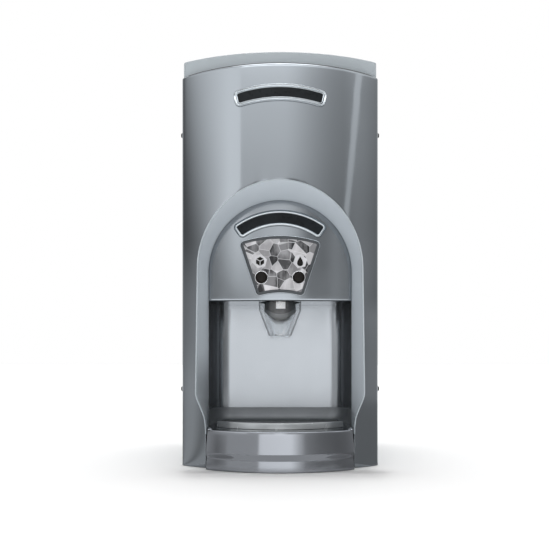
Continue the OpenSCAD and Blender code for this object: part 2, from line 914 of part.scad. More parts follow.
column_y = back_in - column_back;
reducer_h = 46;
reducer_w = 104;
journal_r = auger_core_r - 2;
barrel_z = shelf_z + reducer_h;
head_z = barrel_z + barrel_h;
head_h = 32;
head_r = barrel_r + 5;
transfer_r = 28;
transfer_wall = 3;
transfer_z = head_z + head_h + transfer_r + 8;
bin_dir = atan2(bin_y - column_y, -column_x);
bin_reach = norm([column_x, column_y - bin_y]) - bin_r;
agitator_bite = 20;
gate_t = 3;
guide_lip = 3;
gate_w = outlet_w + 2 * (wall + guide_lip);
gate_z = shelf_z + gap;
lug_w = 6;
rod_r = 3.5;
rod_z = gate_z + 5.5;
solenoid_x = 116;
reservoir_x = 110;
reservoir_y = back_in - 8 - reservoir_d / 2;
valve_z = 330;
valve_h = 40;
valve_w = 36;
valve_d = 70;

// Space of the horizontal transfer tube, of radius r, from the column into the bin
module transfer_run(r, start, length) {
  translate([column_x, column_y, transfer_z]) rotate([0, 0, bin_dir]) translate([start, 0, 0])
    along_x(r, length);
}

module shelf() {
  flange = 20;
  front_y = console_y + tunnel_lap + 6;
  depth = back_in - front_y;
  color("gainsboro") difference() {
    translate([-side_in, front_y, shelf_z - flange]) cube([2 * side_in, depth, flange]);
    translate([-side_in + sheet, front_y - eps, shelf_z - flange - eps])
      cube([2 * (side_in - sheet), depth + 2 * eps, flange - pan_t + eps]);
    translate([0, spout_y, shelf_z - flange]) cylinder(r = outlet_w * 0.75, h = 2 * flange);
    translate([0, bin_y, shelf_z - flange]) cylinder(r = agitator_r + 4, h = 2 * flange);
    translate([column_x, column_y, shelf_z - flange]) cylinder(r = auger_core_r + 4, h = 2 * flange);
    translate([inlet_x, reservoir_y, shelf_z - flange]) cylinder(r = tube_r + gap, h = 2 * flange);
  }
}

module ice_bin() {
  foot_r = 8;
  foot_x = 85;
  foot_ys = [-24, 70];
  neck = outlet_w + 2 * wall;
  neck_z = gate_z + gate_t + gap;
  color("whitesmoke") difference() {
    union() {
      translate([0, bin_y, bin_floor_z]) cylinder(r = bin_r + bin_wall, h = bin_top_z - bin_floor_z);
      for (s = [-1, 1], dy = foot_ys)
        translate([s * foot_x, bin_y + dy, shelf_z]) cylinder(r = foot_r, h = bin_lift + eps);
      translate([-neck / 2, spout_y - neck / 2, neck_z]) cube([neck, neck, bin_floor_z - neck_z + eps]);
    }
    translate([0, bin_y, bin_floor_z + bin_wall]) cylinder(r = bin_r, h = body_h);
    translate([-outlet_w / 2, spout_y - outlet_w / 2, shelf_z]) cube([outlet_w, outlet_w, 2 * bin_lift]);
    translate([0, bin_y, shelf_z]) cylinder(r = agitator_r + gap, h = 2 * bin_lift);
    transfer_run(transfer_r, bin_reach - 4 * bin_wall, 8 * bin_wall);
  }
}

module bin_lid() {
  lid_t = 4;
  plug_h = 8;
  color("whitesmoke") translate([0, bin_y, bin_top_z]) {
    cylinder(r = bin_r + bin_wall, h = lid_t);
    translate([0, 0, -plug_h]) difference() {
      cylinder(r = bin_r - gap, h = plug_h + eps);
      translate([0, 0, -eps]) cylinder(r = bin_r - gap - bin_wall, h = plug_h + eps);
    }
  }
}

// Shaft with a floor sweeper and three stirring arms
module agitator() {
  arm_r = 5;
  arm_l = bin_r - 10;
  arm_pitch = 55;
  hub_r = 18;
  hub_h = 16;
  hub_z = bin_floor_z + bin_wall + 4;
  sweep_w = 16;
  sweep_h = 10;
  shaft_z = shelf_z - pan_t - agitator_bite;
  shaft_h = 230;
  color("silver") translate([0, bin_y, 0]) {
    translate([0, 0, shaft_z]) cylinder(r = agitator_r, h = shaft_h);
    translate([0, 0, hub_z]) cylinder(r = hub_r, h = hub_h);
    for (i = [0:1]) rotate([0, 0, 45 + 180 * i])
      translate([0, -sweep_w / 2, hub_z]) cube([arm_l, sweep_w, sweep_h]);
    for (i = [0:2]) translate([0, 0, hub_z + arm_pitch * (i + 1)]) rotate([0, 0, 60 * i])
      translate([-arm_l, 0, 0]) along_x(arm_r, 2 * arm_l, $fn = 32);
  }
}

module agitator_motor() {
  box_h = 28;
  box_w = 90;
  box_d = 95;
  box_front = 30;
  can_r = 28;
  can_h = 78;
  can_set = 36;
  bore_h = agitator_bite + 2;
  top_z = shelf_z - pan_t;
  color("slategray") translate([0, bin_y, top_z]) difference() {
    union() {
      translate([-box_w / 2, -box_front, -box_h]) cube([box_w, box_d, box_h]);
      translate([0, can_set, -box_h - can_h]) cylinder(r = can_r, h = can_h + eps);
    }
    translate([0, 0, -bore_h]) cylinder(r = agitator_r + run_fit, h = bore_h + eps);
  }
}

// Rails that hold the sliding gate down on the shelf
module gate_guides() {
  rail_l = gate_w + gate_travel + lug_w + 6;
  rail_w = 6;
  rail_h = gate_t + 3 * gap;
  lip_t = 2;
  color("dimgray") for (s = [-1, 1]) translate([-gate_w / 2 - 4, spout_y + s * (gate_w / 2 + gap), shelf_z])
    mirror([0, s < 0 ? 1 : 0, 0]) {
      cube([rail_l, rail_w, rail_h]);
      translate([0, -guide_lip, rail_h - eps / 10]) cube([rail_l, rail_w + guide_lip, lip_t]);
    }
}

// Gate plate with a lug past the bin's outlet that the plunger pulls
module ice_gate() {
  lug_d = 20;
  color("silver") {
    translate([-gate_w / 2, spout_y - gate_w / 2, gate_z]) cube([gate_w + lug_w, gate_w, gate_t]);
    translate([gate_w / 2, spout_y - lug_d / 2, gate_z]) cube([lug_w, lug_d, rod_z + rod_r - gate_z]);
  }
}

module gate_plunger() {
  start = gate_w / 2 + lug_w;
  bite = 28;
  color("lightgray") translate([start, spout_y, rod_z]) along_x(rod_r, solenoid_x - start + bite, $fn = 32);
}

module gate_solenoid() {
  coil_l = 52;
  coil_w = 40;
  coil_h = 32;
  color([0.25, 0.25, 0.28]) difference() {
    translate([solenoid_x, spout_y - coil_w / 2, shelf_z]) cube([coil_l, coil_w, coil_h]);
    translate([solenoid_x - eps, spout_y, rod_z]) along_x(rod_r + run_fit, coil_l + 2 * eps);
  }
}

// Ice maker

module gear_reducer() {
  floor_t = 8;
  color("slategray") difference() {
    translate([column_x - reducer_w / 2, column_y - reducer_w / 2, shelf_z])
      cube([reducer_w, reducer_w, reducer_h]);
    translate([column_x, column_y, shelf_z + floor_t]) cylinder(r = journal_r + run_fit, h = reducer_h);
  }
}

module auger_motor() {
  can_r = 45;
  can_h = 116;
  color("slategray") translate([column_x, column_y, shelf_z - pan_t]) {
    translate([0, 0, -can_h]) cylinder(r = can_r, h = can_h);
    translate([0, 0, -eps]) cylinder(r = auger_core_r, h = pan_t + eps);
  }
}

module evaporator() {
  flange_h = 6;
  flange_r = barrel_r + 10;
  color("lightsteelblue") translate([column_x, column_y, barrel_z]) difference() {
    union() {
      cylinder(r = barrel_r, h = barrel_h);
      cylinder(r = flange_r, h = flange_h);
    }
    translate([0, 0, -eps]) cylinder(r = bore_r, h = barrel_h + 2 * eps);
  }
}

module evaporator_insulation() {
  lift = 8;
  outer_r = barrel_r + insulation_t;
  color([0.15, 0.15, 0.16]) difference() {
    translate([column_x, column_y, barrel_z + lift]) cylinder(r = outer_r, h = barrel_h - 1.5 * lift);
    translate([column_x, column_y, barrel_z]) cylinder(r = barrel_r, h = barrel_h);
    translate([column_x, column_y, feed_z]) along_x(feed_r, 2 * outer_r);
  }
}

// Core, two journals and a flight that winds up the evaporator
module auger() {
  flight_w = 7;
  flight_r = bore_r - 0.5;
  foot = 2;
  seat = 12;
  flight_end = 10;
  flight_h = barrel_h - 2 * flight_end;
  color("silver") translate([column_x, column_y, 0]) {
    translate([0, 0, shelf_z + seat]) cylinder(r = journal_r, h = reducer_h - seat + foot + eps);
    translate([0, 0, barrel_z + foot]) cylinder(r = auger_core_r, h = barrel_h - 2 * foot);
    translate([0, 0, head_z - foot - eps]) cylinder(r = agitator_r, h = head_h - 6);
    translate([0, 0, barrel_z + flight_end])
      linear_extrude(flight_h, twist = -360 * auger_turns, slices = 24 * auger_turns, $fn = 8)
        translate([0, -flight_w / 2]) square([flight_r, flight_w]);
  }
}

// Extruder head: ice is pressed through a ring of ports
module extruder_head() {
  port_r = 5;
  color("lightsteelblue") translate([column_x, column_y, head_z]) difference() {
    cylinder(r = head_r, h = head_h);
    translate([0, 0, -eps]) cylinder(r = agitator_r + run_fit, h = head_h + 2 * eps);
    for (a = [0:60:300]) rotate([0, 0, a]) translate([bore_r - 2 * port_r + 2, 0, -eps])
      cylinder(r = port_r, h = head_h + 2 * eps);
  }
}

module ice_transfer_tube() {
  elbow_r = head_r - 4;
  elbow_h = transfer_z - head_z - head_h + transfer_r + 6;
  base_z = head_z + head_h;
  color("whitesmoke") difference() {
    union() {
      translate([column_x, column_y, base_z]) cylinder(r = head_r, h = 4);
      translate([column_x, column_y, base_z]) cylinder(r = elbow_r, h = elbow_h);
      transfer_run(transfer_r, 0, bin_reach - 1);
    }
    translate([column_x, column_y, base_z - eps])
      cylinder(r = elbow_r - transfer_wall, h = elbow_h - transfer_wall + eps);
    transfer_run(transfer_r - transfer_wall, 0, bin_reach + 2 * bin_wall);
  }
}

// Water

feed_z = reservoir_z + 14;
feed_r = tube_r + 2;
reservoir_left = reservoir_x - reservoir_w / 2;
reservoir_front = reservoir_y - reservoir_d / 2;
float_x = reservoir_left + reservoir_w - 16;
float_stem_r = 5;
float_pin_r = 2;
float_z = reservoir_z + reservoir_h - 22;
float_drop = 24;
float_block_h = 24;

module reservoir_bracket() {
  ledge = reservoir_d + 14;
  drop = 40;
  color("gainsboro") {
    translate([reservoir_left, back_in - sheet, reservoir_z - drop]) cube([reservoir_w, sheet, drop]);
    translate([reservoir_left, back_in - ledge, reservoir_z - sheet]) cube([reservoir_w, ledge, sheet]);
  }
}

module reservoir() {
  color("whitesmoke", 0.7) difference() {
    translate([reservoir_left, reservoir_front, reservoir_z]) cube([reservoir_w, reservoir_d, reservoir_h]);
    translate([reservoir_left + wall, reservoir_front + wall, reservoir_z + wall])
      cube([reservoir_w - 2 * wall, reservoir_d - 2 * wall, reservoir_h]);
    translate([reservoir_left - eps, column_y, feed_z]) along_x(feed_r, wall + 2 * eps);
    translate([reservoir_left + reservoir_w - wall - eps, reservoir_y, float_z])
      along_x(float_stem_r, wall + 2 * eps);
  }
}

module reservoir_lid() {
  color("whitesmoke") translate([reservoir_left, reservoir_front, reservoir_z + reservoir_h])
    cube([reservoir_w, reservoir_d, wall]);
}

// Valve body outside the reservoir, with a clevis and a pin inside it
module float_valve() {
  ear_t = 3;
  ear_l = 11;
  half_d = 9;
  web_x = 5;
  web_t = 4;
  block_w = 20;
  stem_end = reservoir_left + reservoir_w;
  stem_start = float_x + web_x + web_t - eps;
  color("white") {
    translate([stem_end, reservoir_y - block_w / 2, float_z - float_block_h / 2])
      cube([inlet_x + block_w / 2 - stem_end, block_w, float_block_h]);
    translate([stem_start, reservoir_y, float_z]) along_x(float_stem_r, stem_end - stem_start + eps / 10);
    translate([float_x + web_x, reservoir_y - half_d, float_z - float_stem_r])
      cube([web_t, 2 * half_d, 2 * float_stem_r]);
    for (y = [-half_d, half_d - ear_t])
      translate([float_x - float_stem_r, reservoir_y + y, float_z - float_stem_r])
        cube([ear_l, ear_t, 2 * float_stem_r]);
    translate([float_x, reservoir_y - half_d, float_z]) along_y(float_pin_r, 2 * half_d);
  }
}

module float_arm() {
  eye_r = 4.5;
  arm_r = 2;
  arm_l = 46;
  float_r = 14;
  float_h = 22;
  eye_w = 11;
  color("orange") translate([float_x, reservoir_y, float_z]) rotate([0, -float_drop, 0]) difference() {
    union() {
      translate([0, -eye_w / 2, 0]) along_y(eye_r, eye_w);
      translate([-arm_l, 0, 0]) along_x(arm_r, arm_l, $fn = 24);
      translate([-arm_l, 0, -float_h / 2]) cylinder(r = float_r, h = float_h);
    }
    translate([0, -eye_w, 0]) along_y(float_pin_r + run_fit, 2 * eye_w);
  }
}

// Tube from the reservoir to the evaporator
module feed_tube() {
  start = reservoir_left + wall;
  difference() {
    translate([column_x, column_y, feed_z]) along_x(feed_r, start - column_x);
    translate([column_x - eps, column_y, feed_z]) along_x(tube_r, start - column_x + 2 * eps);
    translate([column_x, column_y, barrel_z]) cylinder(r = barrel_r, h = barrel_h);
  }
}

// Valve block inside the back panel that feeds the reservoir and the nozzle
module water_valve() {
  port_d = 20;
  color("royalblue") difference() {
    translate([inlet_x - valve_w / 2, back_in - valve_d, valve_z]) cube([valve_w, valve_d, valve_h]);
    translate([inlet_x, back_in - port_d, inlet_z]) along_y(inlet_r - 2, port_d + eps);
  }
}

module inlet_fitting() {
  color("goldenrod") translate([inlet_x, back_in, inlet_z]) difference() {
    union() {
      along_y(inlet_r, sheet + rear_reach);
      translate([0, sheet, 0]) along_y(inlet_r + 5, 5, $fn = 6);
    }
    translate([0, -eps, 0]) along_y(inlet_r - 3, sheet + rear_reach + 2 * eps);
  }
}

// Tube from the valve block up to the float valve
module supply_tube() {
  base_z = valve_z + valve_h;
  length = float_z - float_block_h / 2 - base_z;
  translate([inlet_x, reservoir_y, base_z]) difference() {
    cylinder(r = tube_r, h = length);
    translate([0, 0, -eps]) cylinder(r = tube_r - 1.5, h = length + 2 * eps);
  }
}

// Tube from the valve block over the alcove to the nozzle
module nozzle_tube() {
  run_z = ceiling_z + wall + 12;
  run_x = inlet_x - 10;
  nozzle_top = ceiling_z + wall + nozzle_lip;
  route = [
    [run_x, back_in - valve_d, run_z],
    [run_x, nozzle_y, run_z],
    [0, nozzle_y, run_z],
    [0, nozzle_y, nozzle_top]
  ];
  path_rod(route, tube_r);
}

module water_tubes() {
  color("white") {
    feed_tube();
    supply_tube();
    nozzle_tube();
  }
}

// Elbow under the drip sink and a pipe to a nipple behind the back panel
module drain_pipe() {
  pipe_bore_r = drain_r - 2;
  elbow_r = drain_r + 2;
  length = back_y + rear_reach - 2 - drain_y;
  color("white") translate([0, drain_y, drain_z]) difference() {
    union() {
      along_y(drain_r, length);
      translate([0, 0, -drain_r - 1]) cylinder(r = elbow_r, h = drain_r + 1 + drain_rise);
      translate([0, back_y - drain_y, 0]) along_y(drain_r + 3, 4);
    }
    along_y(pipe_bore_r, length + eps);
    cylinder(r = pipe_bore_r - 1, h = drain_rise + eps);
  }
}

// Refrigeration

module compressor() {
  shoulder = 25;
  plate_t = 4;
  stand_h = 12;
  inner = compressor_r - shoulder;
  color([0.14, 0.14, 0.15]) translate([compressor_x, compressor_y, compressor_base_z]) {
    translate([-compressor_r, -compressor_r, 0]) cube([2 * compressor_r, 2 * compressor_r, plate_t]);
    cylinder(r = inner, h = plate_t + stand_h + eps);
    translate([0, 0, plate_t + stand_h]) rotate_extrude() {
      square([inner, compressor_h]);
      translate([0, shoulder]) square([compressor_r, compressor_h - 2 * shoulder]);
      for (z = [shoulder, compressor_h - shoulder]) translate([inner, z]) circle(shoulder);
    }
  }
}

module compressor_mounts() {
  mount_r = 11;
  reach = compressor_r - 15;
  color([0.1, 0.1, 0.1]) for (sx = [-1, 1], sy = [-1, 1])
    translate([compressor_x + sx * reach, compressor_y + sy * reach, pan_t])
      cylinder(r = mount_r, h = compressor_base_z - pan_t);
}

// Finned block with tubes across it, on two end plates that stand on the base pan
module condenser() {
  fins = 18;
  fin_t = 1.2;
  pitch = (condenser_w - fin_t) / (fins - 1);
  pipe_r = 4;
  pipes = 5;
  pipe_pitch = condenser_h / pipes;
  pipe_z = condenser_z + pipe_pitch / 2;
  left = fan_x - condenser_w / 2;
  top_z = condenser_z + condenser_h;
  color("silver") {
    for (i = [0:fins - 1]) {
      base_z = i == 0 || i == fins - 1 ? pan_t : condenser_z;
      translate([left + i * pitch, condenser_y, base_z]) cube([fin_t, condenser_d, top_z - base_z]);
    }
    for (i = [0:pipes - 1]) translate([left, condenser_y + condenser_d / 2, pipe_z + pipe_pitch * i])
      along_x(pipe_r, condenser_w, $fn = 24);
  }
}

module fan_shroud() {
  plate_t = 2;
  ring_t = 3;
  left = fan_x - condenser_w / 2;
  color([0.2, 0.2, 0.21]) difference() {
    union() {
      translate([left, condenser_y - plate_t, condenser_z]) cube([condenser_w, plate_t, condenser_h]);
      translate([fan_x, condenser_y - shroud_d, fan_z]) along_y(shroud_r, shroud_d);
    }
    translate([fan_x, condenser_y - shroud_d - eps, fan_z]) along_y(shroud_r - ring_t, shroud_d + 2 * eps);
  }
}

// Motor on a bracket of two bars, which are fixed to the front of the shroud's ring
module fan_motor() {
  can_r = 32;
  can_h = 46;
  bar = 10;
  bore_d = 24;
  front_y = condenser_y - shroud_d - can_h;
  color("slategray") difference() {
    translate([fan_x, front_y, fan_z]) {
      along_y(can_r, can_h - bar / 2 - eps);
      for (a = [45, -45]) rotate([0, a, 0])
        translate([-shroud_r, can_h - bar / 2, -bar / 2]) cube([2 * shroud_r, bar / 2, bar]);
      translate([0, can_h - bar / 2 - 2 * eps, 0]) along_y(can_r / 2, bar / 2 + 2 * eps);
    }
    translate([fan_x, front_y + can_h - bore_d, fan_z]) along_y(fan_shaft_r + run_fit, bore_d + eps);
  }
}

module fan_blade() {
  hub_r = 16;
  hub_d = 14;
  blade_w = 46;
  blade_t = 2;
  root = hub_r - 4;
  pitch_angle = 24;
  shaft_l = 20;
  base_y = condenser_y - 20;
  color([0.75, 0.76, 0.78]) translate([fan_x, base_y, fan_z]) {
    along_y(hub_r, hub_d);
    translate([0, -shaft_l, 0]) along_y(fan_shaft_r, shaft_l + eps);
    for (i = [0:fan_blades - 1]) rotate([0, i * 360 / fan_blades, 0]) translate([0, hub_d / 2, 0])
      intersection() {
        rotate([pitch_angle, 0, 0]) translate([root, -blade_t / 2, -blade_w / 2])
          cube([fan_r - root, blade_t, blade_w]);
        translate([0, -hub_d / 2 - 2, 0]) along_y(fan_r, hub_d + 3);
      }
  }
}

// Controls

box_x = 147;
box_y = -60;
box_z = 420;
box_d = 150;
box_h = 190;

module control_box() {
  color("gainsboro") difference() {
    translate([box_x, box_y, box_z]) cube([side_in - box_x, box_d, box_h]);
    translate([box_x - eps, box_y + sheet, box_z + sheet])
      cube([side_in - box_x - sheet + eps, box_d - 2 * sheet, box_h - 2 * sheet]);
  }
}

module control_box_cover() {
  color("gainsboro") translate([box_x - sheet, box_y, box_z]) cube([sheet, box_d, box_h]);
}

module control_board() {
  board_t = 2;
  standoff = 8;
  board_x = side_in - sheet - standoff - board_t;
  edge = 14;
  coil_h = 24;
  can_r = 7;
  can_h = 16;
  can_pitch = 18;
  color("seagreen") {
    translate([board_x, box_y + edge, box_z + edge]) cube([board_t, box_d - 2 * edge, box_h - 2 * edge]);
    for (y = [box_y + 2 * edge, box_y + box_d - 2 * edge], z = [box_z + 2 * edge, box_z + box_h - 2 * edge])
      translate([board_x + board_t, y, z]) along_x(3, standoff);
    translate([board_x - coil_h, box_y + 3 * edge, box_z + 4 * edge]) cube([coil_h, 2 * edge, 3 * edge]);
    for (i = [0:2]) translate([board_x - can_h, box_y + 5 * edge + can_pitch * i, box_z + 9 * edge])
      along_x(can_r, can_h);
  }
}

// Housing of the master switch, open to the rear, with the rocker's pin across it
module switch_body() {
  depth = 20;
  floor_t = 3;
  lip = 2;
  inner_h = switch_h - 5;
  color([0.1, 0.1, 0.1]) difference() {
    union() {
      translate([switch_x - switch_w / 2, back_y - depth, switch_z - switch_h / 2])
        cube([switch_w, depth, switch_h]);
      translate([switch_x - switch_w / 2 - lip, back_y, switch_z - switch_h / 2 - lip])
        cube([switch_w + 2 * lip, lip, switch_h + 2 * lip]);
    }
    translate([switch_x - rocker_slot_w / 2, back_y - depth + floor_t, switch_z - inner_h / 2])
      cube([rocker_slot_w, depth, inner_h]);
    translate([switch_x - switch_w / 2 - eps, rocker_y, switch_z]) along_x(rocker_pin_r, switch_w + 2 * eps);
  }
}

module switch_rocker() {
  inner_w = rocker_slot_w - 2 * gap;
  rocker_r = 11;
  rocker_h = 18;
  rocker_d = 12;
  root = 3;
  color([0.15, 0.15, 0.15]) translate([switch_x, rocker_y, switch_z]) {
    intersection() {
      translate([-inner_w / 2, 0, 0]) along_x(rocker_r, inner_w);
      translate([-inner_w / 2, -root, -rocker_h / 2]) cube([inner_w, rocker_d, rocker_h]);
    }
    translate([-switch_w / 2 + gap, 0, 0]) along_x(rocker_pin_r - run_fit, switch_w - 2 * gap);
  }
}

module cord_gland() {
  bore = 5;
  nut_t = 5;
  nose = 10;
  color([0.12, 0.12, 0.12]) translate([gland_x, back_in, gland_z]) difference() {
    union() {
      translate([0, -nut_t, 0]) along_y(gland_r + 5, nut_t, $fn = 6);
      along_y(gland_r, sheet + nose);
      translate([0, sheet, 0]) along_y(gland_r + 5, nut_t, $fn = 6);
    }
    translate([0, -nut_t - eps, 0]) along_y(bore, nut_t + sheet + nose + 2 * eps);
  }
}

front_panel();
top_cover();
left_side_panel();
right_side_panel();
back_panel();
base_pan();
panel_screws();
back_screws();
alcove_liner();
console_hood();
upper_name_plate();
console_name_plate();
control_bezel();
control_overlay();
button_rings();
ice_button();
water_button();
button_switches();
ice_spout();
ice_chute();
water_nozzle();
sink_basin();
cup_grille();
shelf();
ice_bin();
bin_lid();
agitator();
agitator_motor();
gate_guides();
ice_gate();
gate_plunger();
gate_solenoid();
gear_reducer();
auger_motor();
evaporator();
evaporator_insulation();
auger();
extruder_head();
ice_transfer_tube();
reservoir_bracket();
reservoir();
reservoir_lid();
float_valve();
float_arm();
water_tubes();
water_valve();
inlet_fitting();
drain_pipe();
compressor();
compressor_mounts();
condenser();
fan_shroud();
fan_motor();
fan_blade();
control_box();
control_box_cover();
control_board();
switch_body();
switch_rocker();
cord_gland();
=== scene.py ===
"""Looks of a countertop ice and water dispenser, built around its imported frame.

Lengths are millimetres until a mesh is made, and metres in the studio.
"""
import json
import math

import bmesh
import bpy
import mathutils
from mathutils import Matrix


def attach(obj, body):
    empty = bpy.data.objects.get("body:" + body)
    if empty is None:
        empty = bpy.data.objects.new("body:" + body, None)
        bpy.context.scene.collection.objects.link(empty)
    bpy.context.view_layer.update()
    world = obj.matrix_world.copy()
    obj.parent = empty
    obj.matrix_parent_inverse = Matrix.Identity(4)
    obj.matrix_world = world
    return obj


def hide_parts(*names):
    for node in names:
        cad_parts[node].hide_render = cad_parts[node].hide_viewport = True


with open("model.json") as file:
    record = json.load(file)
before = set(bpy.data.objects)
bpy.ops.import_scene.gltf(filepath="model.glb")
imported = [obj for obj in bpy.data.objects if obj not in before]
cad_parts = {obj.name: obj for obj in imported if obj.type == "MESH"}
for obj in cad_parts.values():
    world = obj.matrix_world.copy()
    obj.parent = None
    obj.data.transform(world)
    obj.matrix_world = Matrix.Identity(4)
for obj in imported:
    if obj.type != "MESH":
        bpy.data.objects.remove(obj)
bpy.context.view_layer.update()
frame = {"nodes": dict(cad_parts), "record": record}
MM = 0.001

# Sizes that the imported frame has
PANEL_Y = -254.0
PANEL_R = 305.0
PANEL_HALF = 206.0
PANEL_CORNER = 10.0
PANEL_BACK = -141.5
CONSOLE_Y = -139.0
HOOD_R = 1400.0
CEILING_Z = 349.0
ARCH_Z = 411.0
ARCH_R = 171.0
INNER_R = 155.0
SPOUT_Y = -82.0
NOZZLE_Y = -19.0
BUTTON_Z = 399.0

# Part of its range that noise mostly fills
NOISE_SPAN = (0.3, 0.7)
# Metres within which points are one, and degrees over which an edge is sharp
WELD = 0.00001
SHARP = 32.0


# Materials

def shader(name):
    """A new node material: its tree, its Principled shader and the object's own coordinates."""
    mat = bpy.data.materials.new(name)
    mat.use_nodes = True
    tree = mat.node_tree
    bsdf = tree.nodes["Principled BSDF"]
    coords = tree.nodes.new("ShaderNodeTexCoord").outputs["Object"]
    return mat, tree, bsdf, coords


def noise(tree, coords, scale, detail, stretch=None):
    """Noise of so many waves to a metre, stretched by a vector where one is given."""
    node = tree.nodes.new("ShaderNodeTexNoise")
    node.inputs["Scale"].default_value = scale
    node.inputs["Detail"].default_value = detail
    if stretch:
        mapping = tree.nodes.new("ShaderNodeMapping")
        mapping.inputs["Scale"].default_value = stretch
        tree.links.new(coords, mapping.inputs["Vector"])
        coords = mapping.outputs["Vector"]
    tree.links.new(coords, node.inputs["Vector"])
    return node.outputs["Fac"]


def ramp(tree, value, stops):
    """Colours along a value, from a list of (place, colour)."""
    node = tree.nodes.new("ShaderNodeValToRGB")
    band = node.color_ramp.elements
    while len(band) < len(stops):
        band.new(0.5)
    for element, (place, colour) in zip(band, stops):
        element.position = place
        element.color = (*colour, 1.0)
    tree.links.new(value, node.inputs["Fac"])
    return node.outputs["Color"]


def drifting(tree, value, colour, amount):
    """A colour that noise makes darker and lighter by an amount."""
    shades = [tuple(max(0.0, c * (1 + s * amount)) for c in colour) for s in (-1, 1)]
    return ramp(tree, value, list(zip(NOISE_SPAN, shades)))


def map_range(tree, value, start, end, low, high):
    """Turns a value from start to end into one from low to high."""
    node = tree.nodes.new("ShaderNodeMapRange")
    for socket, number in zip(("From Min", "From Max", "To Min", "To Max"), (start, end, low, high)):
        node.inputs[socket].default_value = number
    tree.links.new(value, node.inputs["Value"])
    return node.outputs["Result"]


def bump(tree, bsdf, value, strength, depth):
    """Bump of a depth in metres."""
    node = tree.nodes.new("ShaderNodeBump")
    node.inputs["Strength"].default_value = strength
    node.inputs["Distance"].default_value = depth
    tree.links.new(value, node.inputs["Height"])
    tree.links.new(node.outputs["Normal"], bsdf.inputs["Normal"])


def finish(name, colour, rough, metal, vary, grain, peel, depth, specular=0.5, strength=0.25, stretch=None):
    """Paint, plastic or metal: broad colour drift, uneven gloss and a fine surface grain."""
    mat, tree, bsdf, coords = shader(name)
    drift = noise(tree, coords, grain, 4.0, stretch)
    tree.links.new(drifting(tree, drift, colour, vary), bsdf.inputs["Base Color"])
    gloss = noise(tree, coords, grain * 4.0, 3.0, stretch)
    uneven = map_range(tree, gloss, *NOISE_SPAN, rough * 0.85, rough * 1.15)
    tree.links.new(uneven, bsdf.inputs["Roughness"])
    bump(tree, bsdf, noise(tree, coords, peel, 2.0, stretch), strength, depth)
    bsdf.inputs["Metallic"].default_value = metal
    bsdf.inputs["Specular IOR Level"].default_value = specular
    return mat


def clear_plastic(name, colour, rough):
    """Clear plastic with a few faint flow marks."""
    mat, tree, bsdf, coords = shader(name)
    flow = noise(tree, coords, 30.0, 2.0, (1.0, 1.0, 0.2))
    tree.links.new(drifting(tree, flow, colour, 0.03), bsdf.inputs["Base Color"])
    uneven = map_range(tree, flow, *NOISE_SPAN, rough * 0.7, rough * 1.3)
    tree.links.new(uneven, bsdf.inputs["Roughness"])
    bsdf.inputs["Transmission Weight"].default_value = 1.0
    bsdf.inputs["IOR"].default_value = 1.3
    return mat


def frosted_print(name):
    """Printed ice: broken facets of light and dark grey under frosty streaks, with pale cracks."""
    mat, tree, bsdf, coords = shader(name)
    facets, cracks = [tree.nodes.new("ShaderNodeTexVoronoi") for _ in range(2)]
    cracks.feature = "DISTANCE_TO_EDGE"
    for cells in (facets, cracks):
        cells.inputs["Scale"].default_value = 46.0
        tree.links.new(coords, cells.inputs["Vector"])
    split = tree.nodes.new("ShaderNodeSeparateColor")
    tree.links.new(facets.outputs["Color"], split.inputs["Color"])
    tone = ramp(tree, split.outputs["Red"], [(0.28, (0.012, 0.012, 0.014)), (0.47, (0.06, 0.06, 0.065)),
                                             (0.54, (0.24, 0.24, 0.25)), (0.9, (0.66, 0.65, 0.67))])
    streaks = noise(tree, coords, 34.0, 6.0, (1.5, 1.0, 0.7))
    frost = ramp(tree, streaks, [(0.42, (0.02, 0.02, 0.022)), (0.62, (0.50, 0.50, 0.52))])
    line = ramp(tree, cracks.outputs["Distance"], [(0.0, (0.8, 0.8, 0.8)), (0.03, (0.0, 0.0, 0.0))])
    blend, crack = [tree.nodes.new("ShaderNodeMix") for _ in range(2)]
    blend.data_type = crack.data_type = "RGBA"
    blend.inputs["Factor"].default_value = 0.36
    tree.links.new(tone, blend.inputs["A"])
    tree.links.new(frost, blend.inputs["B"])
    tree.links.new(line, crack.inputs["Factor"])
    tree.links.new(blend.outputs["Result"], crack.inputs["A"])
    crack.inputs["B"].default_value = (0.62, 0.62, 0.64, 1.0)
    tree.links.new(crack.outputs["Result"], bsdf.inputs["Base Color"])
    uneven = map_range(tree, noise(tree, coords, 90.0, 3.0), *NOISE_SPAN, 0.3, 0.4)
    tree.links.new(uneven, bsdf.inputs["Roughness"])
    bsdf.inputs["Specular IOR Level"].default_value = 0.2
    return mat


BRUSHED = (1.0, 1.0, 60.0)
